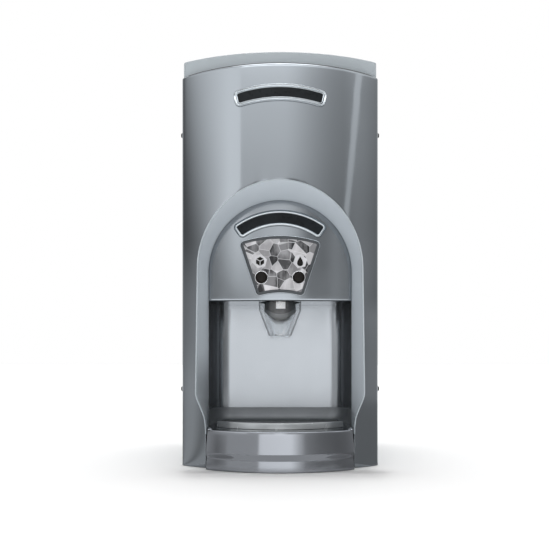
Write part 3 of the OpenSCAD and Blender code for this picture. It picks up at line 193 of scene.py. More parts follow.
# Finishes by slot: colour, roughness, metal, share of drift and its waves to a metre, waves to a metre
# and depth of the surface grain, then specular, strength of the grain and stretch where they aren't usual
FINISHES = {
    "silver_plastic": ((0.202, 0.220, 0.238), 0.1, 1.0, 0.03, 5.0, 60.0, 0.00003, 0.5, 0.06),
    "cover_plastic": ((0.361, 0.402, 0.430), 0.42, 0.0, 0.02, 7.0, 900.0, 0.00003),
    "cabinet_paint": ((0.30, 0.33, 0.35), 0.36, 0.35, 0.04, 6.0, 700.0, 0.00004),
    "zinc_sheet": ((0.50, 0.52, 0.54), 0.34, 1.0, 0.14, 40.0, 300.0, 0.00002),
    "plate_black": ((0.010, 0.012, 0.014), 0.3, 0.0, 0.25, 30.0, 500.0, 0.00002, 0.08),
    "bezel_grey": ((0.050, 0.056, 0.062), 0.4, 0.0, 0.08, 20.0, 1200.0, 0.00003, 0.25),
    "button_black": ((0.009, 0.008, 0.007), 0.3, 0.0, 0.2, 60.0, 900.0, 0.00002, 0.07),
    "ring_chrome": ((0.70, 0.71, 0.73), 0.10, 1.0, 0.04, 60.0, 300.0, 0.00001),
    "chute_dark": ((0.05, 0.052, 0.056), 0.4, 0.0, 0.12, 30.0, 800.0, 0.00003),
    "grille_grey": ((0.265, 0.28, 0.29), 0.25, 0.5, 0.05, 12.0, 200.0, 0.00002),
    "screw_dark": ((0.03, 0.031, 0.034), 0.35, 0.6, 0.2, 120.0, 900.0, 0.00002),
    "screw_zinc": ((0.48, 0.49, 0.5), 0.3, 1.0, 0.1, 120.0, 600.0, 0.00002),
    "food_plastic": ((0.78, 0.79, 0.79), 0.4, 0.0, 0.03, 9.0, 500.0, 0.00003),
    "motor_paint": ((0.11, 0.13, 0.15), 0.36, 0.0, 0.08, 20.0, 500.0, 0.00004),
    "stainless": ((0.50, 0.51, 0.52), 0.26, 1.0, 0.08, 14.0, 300.0, 0.00002, 0.5, 0.25, BRUSHED),
    "foam": ((0.02, 0.02, 0.022), 0.85, 0.0, 0.3, 300.0, 900.0, 0.0003),
    "compressor_paint": ((0.012, 0.012, 0.013), 0.24, 0.0, 0.2, 20.0, 250.0, 0.00005),
    "mount_rubber": ((0.012, 0.012, 0.012), 0.7, 0.0, 0.3, 90.0, 900.0, 0.00006),
    "condenser_fin": ((0.56, 0.57, 0.58), 0.32, 1.0, 0.1, 50.0, 400.0, 0.00002),
    "fan_plastic": ((0.04, 0.042, 0.045), 0.4, 0.0, 0.12, 30.0, 700.0, 0.00003),
    "tube_plastic": ((0.72, 0.74, 0.75), 0.35, 0.0, 0.04, 20.0, 500.0, 0.00002),
    "valve_plastic": ((0.018, 0.04, 0.15), 0.38, 0.0, 0.1, 40.0, 700.0, 0.00003),
    "fitting_brass": ((0.52, 0.33, 0.09), 0.24, 1.0, 0.08, 60.0, 700.0, 0.00002),
    "board_green": ((0.008, 0.06, 0.02), 0.3, 0.0, 0.2, 80.0, 500.0, 0.00003),
    "switch_black": ((0.012, 0.012, 0.012), 0.3, 0.0, 0.2, 80.0, 900.0, 0.00002),
    "float_orange": ((0.65, 0.15, 0.01), 0.4, 0.0, 0.06, 60.0, 700.0, 0.00003),
}
MATS = {slot: finish(slot, *row) for slot, row in FINISHES.items()}
MATS["spout_clear"] = clear_plastic("spout_clear", (0.98, 0.985, 0.99), 0.03)
MATS["overlay_print"] = frosted_print("overlay_print")

# Finishes of pieces that differ from their slot's: a material's name, then the same numbers
OWN_FINISHES = {
    "tunnel": ("tunnel_pale", (0.472, 0.518, 0.560), 0.45, 0.0, 0.02, 7.0, 900.0, 0.00002, 0.2),
    "opening_lip": ("lip_pale", (0.36, 0.40, 0.43), 0.45, 0.0, 0.02, 7.0, 900.0, 0.00002, 0.2),
    "sink_front": ("sink_silver", (0.178, 0.188, 0.205), 0.1, 1.0, 0.03, 5.0, 60.0, 0.00003, 0.5, 0.06),
    "alcove_walls": ("alcove_silver", (0.217, 0.232, 0.249), 0.16, 0.85, 0.03, 5.0, 60.0, 0.00003, 0.5, 0.06),
    # The cove is a darker grey than the alcove walls above it: painted shade at the alcove's foot
    "alcove_cove": ("cove_grey", (0.125, 0.136, 0.147), 0.42, 0.4, 0.05, 8.0, 200.0, 0.00002),
    "grille_plate": ("grille_dark", (0.07, 0.075, 0.08), 0.35, 1.0, 0.05, 12.0, 200.0, 0.00002),
    # The frames' silver is lighter than the panel they are moulded in: painted highlight on their ridges
    "panel_frame": ("frame_silver", (0.37, 0.40, 0.425), 0.14, 1.0, 0.03, 5.0, 60.0, 0.00003, 0.5, 0.06),
    "chute_lip": ("lip_grey", (0.15, 0.158, 0.165), 0.4, 0.0, 0.06, 30.0, 800.0, 0.00002),
    "nozzle": ("nozzle_white", (0.86, 0.87, 0.88), 0.4, 0.0, 0.03, 40.0, 500.0, 0.00002),
    "ice_field": ("field_pale", (0.52, 0.52, 0.54), 0.35, 0.0, 0.1, 60.0, 700.0, 0.00002, 0.2),
}
OWN_MATS = {piece: finish(*row) for piece, row in OWN_FINISHES.items()}
# The label's frame and the bezel's bead take the same painted highlight
OWN_MATS["label_frame"] = OWN_MATS["bezel_bead"] = OWN_MATS["panel_frame"]
# The pale patch in the chute's notch is painted light in the nozzle's white
OWN_MATS["chute_painted_light"] = OWN_MATS["nozzle"]
OWN_MATS["water_field"] = OWN_MATS["ice_field"]

for part in frame["record"]["subparts"]:
    node = frame["nodes"].get(part["node"])
    mat = MATS.get(part["material_slot"])
    if node is not None and mat is not None:
        node.data.materials.clear()
        node.data.materials.append(mat)


# Meshes

def mesh_of(name, mesh_data, toward=None):
    """A mesh of points in millimetres, with its faces outwards, or an open sheet's towards a point."""
    verts, faces = mesh_data
    mesh = bpy.data.meshes.new(name)
    mesh.from_pydata([(x * MM, y * MM, z * MM) for x, y, z in verts], [], faces)
    work = bmesh.new()
    work.from_mesh(mesh)
    bmesh.ops.remove_doubles(work, verts=work.verts, dist=WELD)
    bmesh.ops.recalc_face_normals(work, faces=work.faces)
    if toward:
        point = mathutils.Vector(toward) * MM
        if sum((point - f.calc_center_median()).dot(f.normal) * f.calc_area() for f in work.faces) < 0:
            bmesh.ops.reverse_faces(work, faces=work.faces)
    work.to_mesh(mesh)
    work.free()
    return mesh


def placed(name, data):
    """A new object in the scene."""
    obj = bpy.data.objects.new(name, data)
    bpy.context.scene.collection.objects.link(obj)
    return obj


def add_piece(name, mesh_data, slot, node, body="cabinet", sharp=SHARP, toward=None, thick=0.0):
    """A piece that stands for a node, rides on a body and takes a slot's finish or its own.

    An open sheet faces a point and is thickened behind its face.
    """
    obj = placed(name, mesh_of(name, mesh_data, toward))
    obj.data.materials.append(OWN_MATS.get(name, MATS[slot]))
    if thick:
        skin = obj.modifiers.new("thickness", "SOLIDIFY")
        skin.thickness = thick * MM
        skin.offset = -1.0
        bake(obj)
    smooth(obj.data, sharp)
    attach(obj, body)
    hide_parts(node)
    return obj


def bake(obj):
    """Makes a piece's modifiers part of its mesh."""
    bpy.context.view_layer.update()
    done = bpy.data.meshes.new_from_object(obj.evaluated_get(bpy.context.evaluated_depsgraph_get()))
    done.name = obj.name
    obj.modifiers.clear()
    obj.data = done


def smooth(mesh, sharp):
    """Smooth shading, with edges over so many degrees kept sharp."""
    mesh.polygons.foreach_set("use_smooth", [True] * len(mesh.polygons))
    mesh.set_sharp_from_angle(angle=math.radians(sharp))


def cut(obj, *tools):
    """Cuts closed shapes out of a piece."""
    tool = placed("cutter", mesh_of("cutter", merged(*tools)))
    step = obj.modifiers.new("cut", "BOOLEAN")
    step.object = tool
    step.solver = "EXACT"
    bake(obj)
    bpy.data.objects.remove(tool)
    smooth(obj.data, SHARP)


def grid_faces(rows, cols, closed_rows=False, closed_cols=False):
    """Faces of a grid of points that are listed row by row."""
    faces = []
    for i in range(rows if closed_rows else rows - 1):
        for j in range(cols if closed_cols else cols - 1):
            a, b = i * cols, (i + 1) % rows * cols
            k = (j + 1) % cols
            faces.append((a + j, a + k, b + k, b + j))
    return faces


def loft(rings, tube=False):
    """Joins closed rings of equally many points, and closes the ends or joins the last to the first."""
    cols = len(rings[0])
    verts = [p for ring in rings for p in ring]
    faces = grid_faces(len(rings), cols, closed_rows=tube, closed_cols=True)
    if not tube:
        faces.append(tuple(range(cols)))
        faces.append(tuple(range(len(verts) - cols, len(verts))))
    return verts, faces


def sheet(rows):
    """An open sheet of rows of equally many points."""
    return [p for row in rows for p in row], grid_faces(len(rows), len(rows[0]))


def merged(*meshes):
    """Several (points, faces) as one."""
    verts, faces = [], []
    for points, polygons in meshes:
        faces += [tuple(i + len(verts) for i in f) for f in polygons]
        verts += points
    return verts, faces


def lathe(profile, centre, axis, steps, tube=True):
    """Turns a profile of (radius, height) round an axis through a centre."""
    rings = []
    for radius, height in profile:
        ring = []
        for i in range(steps):
            a = 2 * math.pi * i / steps
            u, v = radius * math.cos(a), radius * math.sin(a)
            offset = {"z": (u, v, height), "y": (u, height, v)}[axis]
            ring.append(tuple(c + o for c, o in zip(centre, offset)))
        rings.append(ring)
    return loft(rings, tube=tube)


def rod(radius, low, high, centre, axis, steps):
    """A closed cylinder along an axis through a centre."""
    return lathe([(radius, low), (radius, high)], centre, axis, steps, tube=False)


def prism(outline, low, high):
    """A flat X and Z outline made solid between two depths."""
    return loft([[(x, y, z) for x, z in outline] for y in (low, high)])


def block(low, high):
    """A closed box between two corners."""
    (x0, y0, z0), (x1, y1, z1) = low, high
    return loft([[(x0, y0, z), (x1, y0, z), (x1, y1, z), (x0, y1, z)] for z in (z0, z1)])


# Outlines

def arc(centre, radius, start, end, steps):
    """Points of an arc, in degrees from the first axis towards the second."""
    angles = [math.radians(start + (end - start) * i / steps) for i in range(steps + 1)]
    return [(centre[0] + radius * math.cos(a), centre[1] + radius * math.sin(a)) for a in angles]


def along(value, stops):
    """Straight lines between (place, level) stops."""
    if value <= stops[0][0]:
        return stops[0][1]
    for (a, la), (b, lb) in zip(stops, stops[1:]):
        if value <= b:
            return la + (lb - la) * (value - a) / (b - a)
    return stops[-1][1]


def share(value, start, end):
    """How far a value has come from start to end, from 0 to 1."""
    return min(1.0, max(0.0, (value - start) / (end - start)))


def mirrored(right):
    """An outline with directions from the left to the right, from its right half."""
    return [(-x, y, -nx, ny) for x, y, nx, ny in reversed(right[1:])] + right


def bow(radius, apex, x):
    """Depth of a bowed front at a sideways place."""
    return apex + radius - math.sqrt(radius * radius - x * x)


def bowed(radius, apex, corner, half, back):
    """Bowed outline from the left rear to the right rear: points with their outward directions."""
    edge = apex + radius - math.sqrt((radius - corner) ** 2 - (half - corner) ** 2)
    touch = math.degrees(math.asin((half - corner) / (radius - corner)))
    right = []
    for i in range(49):
        a = math.radians(touch * i / 48)
        right.append((radius * math.sin(a), apex + radius - radius * math.cos(a), math.sin(a), -math.cos(a)))
    for i in range(1, 9):
        a = math.radians(touch + (90 - touch) * i / 8)
        x, y = half - corner + corner * math.sin(a), edge - corner * math.cos(a)
        right.append((x, y, math.sin(a), -math.cos(a)))
    for i in range(1, 7):
        right.append((half, edge + (back - edge) * i / 6, 1.0, 0.0))
    return mirrored(right)


def inset(outline, amount, z, back=None):
    """An outline moved inwards, at a height, with its straight rear side moved too where its place is given."""
    points = [(x - nx * amount, y - ny * amount, z) for x, y, nx, ny in outline]
    if back is not None:
        limit = back - amount
        points = [(x, min(limit, y), z) for x, y, z in points]
        points[0], points[-1] = [(x, limit, z) for x, y, z in (points[0], points[-1])]
    return points


def fan(hub, inner, outer, half, corner, grow):
    """Closed ring sector with round corners in X and Z, grown all round. Its half angle is in degrees."""
    steps, turn = 48, 6
    inner, outer, corner = inner - grow, outer + grow, max(0.3, corner + grow)
    tilt = math.radians(half)
    right = []
    for radius, over in ((outer - corner, True), (inner + corner, False)):
        swing = tilt + math.asin((grow - corner) / radius)
        first = 90.0 - math.degrees(swing) if over else -math.degrees(tilt)
        last = -math.degrees(tilt) if over else -90.0 - math.degrees(swing)
        bend = arc((radius * math.sin(swing), radius * math.cos(swing)), corner, first, last, turn)
        if over:
            span = [swing * i / steps for i in range(steps)]
            right += [(outer * math.sin(a), outer * math.cos(a)) for a in span] + bend
        else:
            span = [swing * (steps - i) / steps for i in range(1, steps + 1)]
            right += bend + [(inner * math.sin(a), inner * math.cos(a)) for a in span]
    left = [(-x, z) for x, z in reversed(right[1:-1])]
    return [(x, z + hub) for x, z in right + left]


def on_bow(radius, apex, x, z, out):
    """A place on a bowed face, so far out from it."""
    a = math.asin(x / radius)
    return x + math.sin(a) * out, apex + radius - (radius + out) * math.cos(a), z


def on_panel(x, z, out=0.0):
    """A place on the front panel, so far out from its face."""
    return on_bow(PANEL_R, PANEL_Y, x, z, out)


def on_hood(x, z, out=0.0):
    """A place on the console, so far out from its face."""
    return on_bow(HOOD_R, CONSOLE_Y, x, z, out)


def ridge(place, sector, profile):
    """A moulded frame round a ring sector, from a profile of (distance outwards, height)."""
    return loft([[place(x, z, h) for x, z in fan(*sector, grow=g)] for g, h in profile], tube=True)


def plate(place, sector, grow, low, high):
    """A thin plate over a ring sector, following the surface under it."""
    cols, rows = 48, 6
    hub, inner, outer, half, _ = sector
    swing = math.radians(half) + grow / outer
    angles = [swing * (2 * i / cols - 1) for i in range(cols + 1)]
    radii = [inner - grow + (outer - inner + 2 * grow) * j / rows for j in range(rows + 1)]
    layers = []
    rims = []
    for out in (low, high):
        layer = [[place(r * math.sin(a), hub + r * math.cos(a), out) for a in angles] for r in radii]
        right, left = [row[-1] for row in layer[1:-1]], [row[0] for row in layer[-2:0:-1]]
        rims += layer[0] + right + layer[-1][::-1] + left
        layers.append(sheet(layer))
    return merged(*layers, (rims, grid_faces(2, len(rims) // 2, closed_cols=True)))


# Top cover

COVER_BACK = 272.0
COVER = bowed(400.0, -224.0, 12.0, 203.7, COVER_BACK)
COVER_EDGE = 848.6
COVER_ROUND = 1.4
cover_steps = [(3.5, 846.5), (3.5, 816.0), (1.0, 816.0), (0.3, 816.4), (0.0, 817.2), (0.0, 832.0)]
cover_steps += [(COVER_ROUND - r, z) for r, z in arc((0.0, COVER_EDGE), COVER_ROUND, 0, 90, 5)]
cover_rings = [inset(COVER, d, z, COVER_BACK) for d, z in cover_steps]
add_piece("cover_shell", loft(cover_rings), "cover_plastic", "top_cover")


# Front panel: (height, half width) of its opening, half width of its bowed face, heights of its neck, of
# the lip above it and of its top, rolls of the lip and of the rim round the opening, and the tunnel's foot
JAMB = [(1.0, 152.5), (81.0, 152.5), (105.0, 155.5), (148.0, 175.0), (ARCH_Z, ARCH_R)]
PANEL_MID = 195.0
PANEL_NECK = 806.0
PANEL_LIP = 811.9
PANEL_TOP = 815.8
PANEL_ROUND = 4.0
RIM = 1.2
TUNNEL_FOOT = 70.0


def opening_half(z):
    """Half width of the front panel's opening, with its bends eased."""
    return sum(along(z + d, JAMB) for d in (-6.0, -3.0, 0.0, 3.0, 6.0)) / 5


def opening_stations():
    """Places up the right side of the opening and over its arch, each with its partner on the panel's border."""
    heights = [1.0, 20.0, 40.0, 58.0] + [TUNNEL_FOOT + 3 * i for i in range(31)]
    heights += [163.0 + 15.5 * i for i in range(16)]
    right = [((opening_half(z), z), (PANEL_MID, z)) for z in heights]
    for i, spot in enumerate(arc((0.0, ARCH_Z), ARCH_R, 0, 90, 60)):
        if i <= 30:
            border = (PANEL_MID, ARCH_Z + (PANEL_NECK - ARCH_Z) * i / 30)
        else:
            border = (PANEL_MID * (60 - i) / 30, PANEL_NECK)
        right.append((spot, border))
    left = [((-b[0], b[1]), (-m[0], m[1])) for b, m in reversed(right[:-1])]
    return right + left


STATIONS = opening_stations()


def outward(i):
    """Direction away from the opening at a station."""
    (ax, az), (bx, bz) = STATIONS[max(0, i - 1)][0], STATIONS[min(len(STATIONS) - 1, i + 1)][0]
    length = math.hypot(bx - ax, bz - az)
    return (bz - az) / length, -(bx - ax) / length


def panel_rows():
    """The panel's face from its rolled rim round the opening out to its border."""
    shares = [0.0, 0.02, 0.06, 0.12, 0.2, 0.3, 0.4, 0.5, 0.6, 0.7, 0.8, 0.9, 1.0]
    rows = []
    for i, ((bx, bz), (mx, mz)) in enumerate(STATIONS):
        dx, dz = outward(i)
        row = [on_panel(bx, bz, -4.0), on_panel(bx, bz, -2.4)]
        for roll, out in arc((RIM, -RIM), RIM, 180, 108, 4):
            row.append(on_panel(bx + dx * roll, bz + dz * roll, out))
        sx, sz = bx + dx * RIM, max(1.0, bz + dz * RIM)
        row += [on_panel(sx + (mx - sx) * part, sz + (mz - sz) * part) for part in shares]
        rows.append(row)
    return rows


def panel_side():
    """Outline from the panel's border round its right corner to its rear edge, with outward directions."""
    span = PANEL_HALF - PANEL_CORNER
    touch = math.asin(span / (PANEL_R - PANEL_CORNER))
    edge = PANEL_Y + PANEL_R - (PANEL_R - PANEL_CORNER) * math.cos(touch)
    start = math.asin(PANEL_MID / PANEL_R)
    points = []
    for i in range(5):
        a = start + (touch - start) * i / 4
        y = PANEL_Y + PANEL_R - PANEL_R * math.cos(a)
        points.append((PANEL_R * math.sin(a), y, math.sin(a), -math.cos(a)))
    for i in range(1, 11):
        a = touch + (math.pi / 2 - touch) * i / 10
        x, y = span + PANEL_CORNER * math.sin(a), edge - PANEL_CORNER * math.cos(a)
        points.append((x, y, math.sin(a), -math.cos(a)))
    for i in range(1, 4):
        points.append((PANEL_HALF, edge + (PANEL_BACK - edge) * i / 3, 1.0, 0.0))
    return points


def panel_shell():
    """The whole front panel: its face, its two corners and its top lip."""
    right = panel_side()
    left = [(-x, y, -nx, ny) for x, y, nx, ny in right]
    inside = PANEL_MID - 0.01
    heights = [z for _, (x, z) in STATIONS if x > inside]
    sides = [sheet([[(x, y, z) for x, y, nx, ny in side] for z in heights]) for side in (left, right)]
    top = []
    for _, (x, z) in STATIONS:
        if abs(x) < inside:
            a = math.asin(x / PANEL_R)
            top.append((*on_panel(x, z)[:2], math.sin(a), -math.cos(a)))
    outline = left[::-1] + top[::-1] + right
    rows = [inset(outline, 0.0, z) for z in (PANEL_NECK, 809.0, PANEL_LIP)]
    for a in (18, 36, 54, 72, 90):
        s = math.radians(a)
        z = PANEL_LIP + (PANEL_TOP - PANEL_LIP) * math.sin(s)
        rows.append(inset(outline, PANEL_ROUND * (1 - math.cos(s)), z))
    rows.append([(x * 0.955, min(PANEL_BACK, y + 40.0), PANEL_TOP) for x, y, nx, ny in outline])
    return merged(sheet(panel_rows()), *sides, sheet(rows))


add_piece("panel_shell", panel_shell(), "silver_plastic", "front_panel", toward=(0, -9000, 400), thick=1.1)

# Painted shadow: a black strip behind the panel's top lip draws the dark line between the lip and the cover
shadow_strip_rows = []
for depth, z in ((5.0, 814.0), (5.0, 817.8), (6.4, 817.8), (6.4, 814.0)):
    shadow_strip_rows.append([on_panel(PANEL_MID * (i / 48 - 1), z, -depth) for i in range(97)])
add_piece("panel_painted_shadow", loft([list(ring) for ring in zip(*shadow_strip_rows)]), "mount_rubber", "front_panel")

# Ring sectors: height of the hub, inner and outer radius, half angle and corner
NAME = (372.0, 376.0, 394.0, 12.6, 3.0)
NAME_FRAME = [(8.6, -0.6), (8.4, 0.9), (7.7, 2.4), (6.9, 2.9), (6.1, 2.4), (5.3, 1.3), (4.2, 1.1), (3.1, 1.5),
              (2.4, 2.6), (1.6, 3.3), (0.8, 3.0), (0.2, 2.0), (0.0, -0.6)]
add_piece("panel_frame", ridge(on_panel, NAME, NAME_FRAME), "silver_plastic", "front_panel", sharp=60)
add_piece("name_plate", plate(on_panel, NAME, 0.9, -0.5, 1.7), "plate_black", "upper_name_plate")


# Tunnel of the opening and the alcove behind it

ALCOVE_Y = -124.0
ALCOVE_BACK = -4.0
ALCOVE_CORNER = 45.0
WALL_TOP = 351.0
COVE_FOOT = 81.2
COVE_RISE = 31.0
COVE_TOP = COVE_FOOT + COVE_RISE
COVE_DEPTH = 15.0
BEAD_LIP = [(1.5, -0.3), (1.3, 0.2), (0.9, 0.5), (0.4, 0.5), (0.0, 0.2), (-0.3, -0.5)]


def tunnel_rows():
    """The rolled lip of the opening and the pale band from it back to the alcove."""
    lip, band = [], []
    for i, ((bx, bz), _) in enumerate(STATIONS):
        if bz < TUNNEL_FOOT:
            continue
        dx, dz = outward(i)
        fx, fy, fz = on_panel(bx - dx * 0.5, bz - dz * 0.5, -2.0)
        if bz <= ARCH_Z:
            cx, cz = math.copysign(INNER_R, bx), bz
        else:
            cx, cz = bx * INNER_R / ARCH_R, ARCH_Z + (bz - ARCH_Z) * INNER_R / ARCH_R
        lip.append([on_panel(bx + dx * d, bz + dz * d, out) for d, out in BEAD_LIP] + [(fx, fy, fz)])
        row = []
        for part in (0.0, 0.1, 0.25, 0.5, 0.75, 1.0):
            row.append((fx + (cx - fx) * part, fy + (CONSOLE_Y - fy) * part, fz + (cz - fz) * part))
        band.append(row + [(cx, ALCOVE_Y, cz)])
    return lip, band


def alcove_plan():
    """Plan of the alcove's walls from the left front to the right front, with inward directions."""
    flat, front = INNER_R - ALCOVE_CORNER, ALCOVE_BACK - ALCOVE_CORNER
    right = [(flat * i / 9, ALCOVE_BACK, 0.0, -1.0) for i in range(9)]
    for i in range(17):
        a = math.radians(90 - 90 * i / 16)
        x, y = flat + ALCOVE_CORNER * math.cos(a), front + ALCOVE_CORNER * math.sin(a)
        right.append((x, y, -math.cos(a), -math.sin(a)))
    for i in range(1, 9):
        right.append((INNER_R, front + (ALCOVE_Y - front) * i / 8, -1.0, 0.0))
    return mirrored(right)


def alcove_rows(heights):
    """The alcove's walls, with a cove at the foot of the back."""
    rows = []
    for z in heights:
        low = max(0.0, COVE_TOP - z) / COVE_RISE
        cove = COVE_DEPTH * (1 - math.sqrt(max(0.0, 1 - low * low)))
        row = []
        for x, y, nx, ny in alcove_plan():
            amount = cove * share(y, -110.0, -50.0)
            row.append((x + nx * amount, y + ny * amount, z))
        rows.append(row)
    return rows


lip_rows, band_rows = tunnel_rows()
add_piece("opening_lip", sheet(lip_rows), "cover_plastic", "alcove_liner", toward=(0, -900, 330), thick=0.8, sharp=50)
add_piece("tunnel", sheet(band_rows), "cover_plastic", "alcove_liner", toward=(0, -180, 330), thick=2.0, sharp=50)
walls = [COVE_TOP + (WALL_TOP - COVE_TOP) * i / 16 for i in range(17)]
cove = [COVE_FOOT + COVE_RISE * (1 - math.cos(math.radians(90 * i / 12))) for i in range(13)]
# The cove takes a darker finish than the walls above it, as painted shade
for name, heights in (("alcove_walls", walls), ("alcove_cove", cove)):
    add_piece(name, sheet(alcove_rows(heights)), "silver_plastic", "alcove_liner",
              toward=(0, -120, 220), thick=2.0, sharp=60)


# Console

HOOD_HALF = 154.6
HOOD_EDGE = 3.0
BUTTONS = ((-40.0, "ice"), (40.0, "water"))


def hood_rows():
    """The console's face, from the return behind its rolled lower edge up to the arch."""
    spots = [(9.0, CEILING_Z), (6.0, CEILING_Z)]
    spots += arc((HOOD_EDGE, CEILING_Z + HOOD_EDGE), HOOD_EDGE, -90, -180, 4)
    spots += [(0.0, z) for z in (354.0, 360.0, 372.0, 384.0, 398.0, ARCH_Z)]
    rows = [[on_hood(HOOD_HALF * (i / 24 - 1), z, -deep) for i in range(49)] for deep, z in spots]
    for half, z in arc((0.0, ARCH_Z), HOOD_HALF, 0, 90, 24)[1:]:
        rows.append([on_hood(half * (i / 24 - 1), z) for i in range(49)])
    return rows


hood = add_piece("hood_face", sheet(hood_rows()), "silver_plastic", "console_hood", toward=(0, -9000, 440), thick=2.0)
holes = [rod(12.7, -160.0, -110.0, (x, 0, BUTTON_Z), "y", 64) for x, _ in BUTTONS]
cut(hood, *holes)

ceiling_plan = [(x * 0.998, y - 2.0) for x, y, nx, ny in alcove_plan()]
ceiling_rings = [[(x, y, z) for x, y in ceiling_plan] for z in (CEILING_Z + 0.4, CEILING_Z + 2.8)]
ceiling = add_piece("hood_ceiling", loft(ceiling_rings), "silver_plastic", "console_hood")
cut(ceiling, rod(47.3, 340.0, 360.0, (0, SPOUT_Y, 0), "z", 96), rod(6.3, 340.0, 360.0, (0, NOZZLE_Y, 0), "z", 48))

LABEL = (375.0, 142.5, 162.5, 35.0, 3.0)
LABEL_FRAME = [(7.6, -0.6), (7.3, 0.6), (6.4, 1.9), (5.0, 2.8), (3.4, 3.2), (2.0, 3.1), (0.9, 2.5), (0.2, 1.7),
               (0.0, -0.6)]
add_piece("label_frame", ridge(on_hood, LABEL, LABEL_FRAME), "silver_plastic", "console_hood", sharp=60)
add_piece("label_plate", plate(on_hood, LABEL, 0.9, -0.5, 1.4), "plate_black", "console_name_plate")

CONTROL = (213.0, 155.0, 275.0, 18.3, 8.0)
BEZEL = [(0.0, -4.0), (0.0, 2.6), (-0.5, 3.4), (-1.4, 3.9), (-2.6, 4.0), (-4.0, 4.0), (-4.9, 3.7), (-5.4, 3.0),
         (-5.5, 2.0), (-5.5, -4.0)]
BEAD = [(2.2, -4.0), (2.2, 0.2), (1.8, 1.0), (1.1, 1.3), (0.4, 1.0), (-0.1, 0.4), (-0.1, -4.0)]
OVERLAY_Y = -141.0


def flat_front(x, z, out):
    """A place so far out from the console's middle."""
    return x, CONSOLE_Y - out, z


add_piece("bezel", ridge(flat_front, CONTROL, BEZEL), "bezel_grey", "control_bezel", sharp=50)
add_piece("bezel_bead", ridge(flat_front, CONTROL, BEAD), "silver_plastic", "console_hood", sharp=60)
overlay_sheet = prism(fan(*CONTROL, grow=-5.4), OVERLAY_Y, OVERLAY_Y + 5.5)
overlay = add_piece("overlay", overlay_sheet, "overlay_print", "control_overlay")
cut(overlay, *holes)

TRIM = [(12.5, -139.5), (12.5, -142.8), (12.8, -143.6), (13.4, -144.0), (14.1, -143.8), (14.6, -143.0),
        (14.7, -142.0), (14.7, -139.5)]
CAP = [(2.0, -149.9), (6.5, -149.8), (9.6, -149.3), (11.2, -148.5), (11.9, -147.2), (12.0, -146.0), (12.0, -133.0)]
for x, side in BUTTONS:
    centre, button = (x, 0, BUTTON_Z), side + "_button"
    add_piece(side + "_ring", lathe(TRIM, centre, "y", 96), "ring_chrome", "button_rings", sharp=60)
    add_piece(side + "_cap", lathe(CAP, centre, "y", 96, tube=False), "button_black", button, button, sharp=50)


# Generic pictures of an ice cube and a drop in place of words

MARK_X = 43.0
MARK_Z = 434.0
MARK_SIZE = 10.5
FIELD_R = 15.5
FIELD_CORNERS = [math.radians(a) for a in (15, 80, 130, 195, 250, 315)]


def cube_faces(cx, cz, size, gap):
    """Three slanted faces of a cube, a little apart."""
    c = size * math.cos(math.radians(30))
    s = size / 2
    faces = [[(0, gap), (c - gap, s), (0, size - gap / 2), (gap - c, s)]]
    wall = [(gap / 2, 0), (c - gap / 3, s - gap), (c - gap / 3, -s + gap / 2), (gap / 2, -size + gap / 2)]
    faces += [[(-x, z) for x, z in wall], wall]
    return [[(cx + x, cz + z) for x, z in face] for face in faces]


def drop(cx, cz, size):
    """Outline of a water drop."""
    angles = [2 * math.pi * i / 40 for i in range(40)]
    return [(cx + size * 0.85 * math.sin(a) * math.sin(a / 2) ** 1.3, cz + size * math.cos(a)) for a in angles]


marks = {"ice": cube_faces(-MARK_X, MARK_Z, MARK_SIZE, 1.4), "water": [drop(MARK_X, MARK_Z, MARK_SIZE)]}
for x, side in ((-MARK_X, "ice"), (MARK_X, "water")):
    cell = [(x + FIELD_R * math.cos(a), MARK_Z + FIELD_R * math.sin(a)) for a in FIELD_CORNERS]
    add_piece(side + "_field", prism(cell, OVERLAY_Y - 0.25, OVERLAY_Y + 0.5), "overlay_print", "control_overlay")
for side, outlines in marks.items():
    mark = merged(*[prism(outline, OVERLAY_Y - 0.5, OVERLAY_Y + 0.5) for outline in outlines])
    add_piece(side + "_mark", mark, "button_black", "control_overlay")


# Spout, chute and nozzle

CHUTE_LOW = 313.0
CHUTE_DIP = 15.0
SPOUT = [(44.8, 352.0), (47.0, 352.0), (47.0, 333.0), (46.6, 330.6), (45.8, 328.2), (26.2, 279.0), (26.0, 277.4),
         (25.4, 277.0), (24.4, 277.0), (23.9, 277.6), (24.0, 279.4), (43.6, 328.8), (44.5, 331.2), (44.8, 333.6)]
add_piece("spout_shell", lathe(SPOUT, (0, SPOUT_Y, 0), "z", 128), "spout_clear", "ice_spout", sharp=40)


def chute_rings(radius, wall, rise=None):
    """A tube whose lower edge dips in front and behind, up to the ceiling or so far up from the edge."""
    steps, inner = 96, radius - wall
    rings = []
    for i in range(steps):
        a = 2 * math.pi * i / steps
        x = math.sin(a)
        low = CHUTE_LOW + CHUTE_DIP * x * x
        high = low + rise if rise else WALL_TOP
        profile = ((radius, high), (radius, low + 1.0), (radius - 0.8, low),
                   (inner + 0.8, low), (inner, low + 1.0), (inner, high))
        rings.append([(r * x, SPOUT_Y - r * math.cos(a), z) for r, z in profile])
    return rings


# The chute has a notch in front, with a pale patch across it that is painted light: it stands in for the light seen
# through the notch
chute = add_piece("chute_shell", loft(chute_rings(34.0, 3.0), tube=True), "chute_dark", "ice_chute", sharp=50)
cut(chute, block((-9.0, -150.0, 334.0), (11.5, -10.0, 360.0)))
add_piece("chute_lip", loft(chute_rings(34.6, 4.2, 9.0), tube=True), "chute_dark", "ice_chute", sharp=50)
add_piece("chute_painted_light", block((-8.9, -114.5, 334.2), (11.4, -112.5, 348.8)), "chute_dark", "ice_chute")

NOZZLE = [(4.0, 352.0), (13.0, 352.0), (13.0, 333.0), (12.0, 331.0), (6.6, 329.0), (6.0, 327.0), (6.0, 320.0),
          (5.2, 319.0), (4.0, 319.0)]
add_piece("nozzle", lathe(NOZZLE, (0, NOZZLE_Y, 0), "z", 64), "tube_plastic", "water_nozzle", sharp=40)


# Drip sink: its front by (distance inwards, height), its deck and its bowl

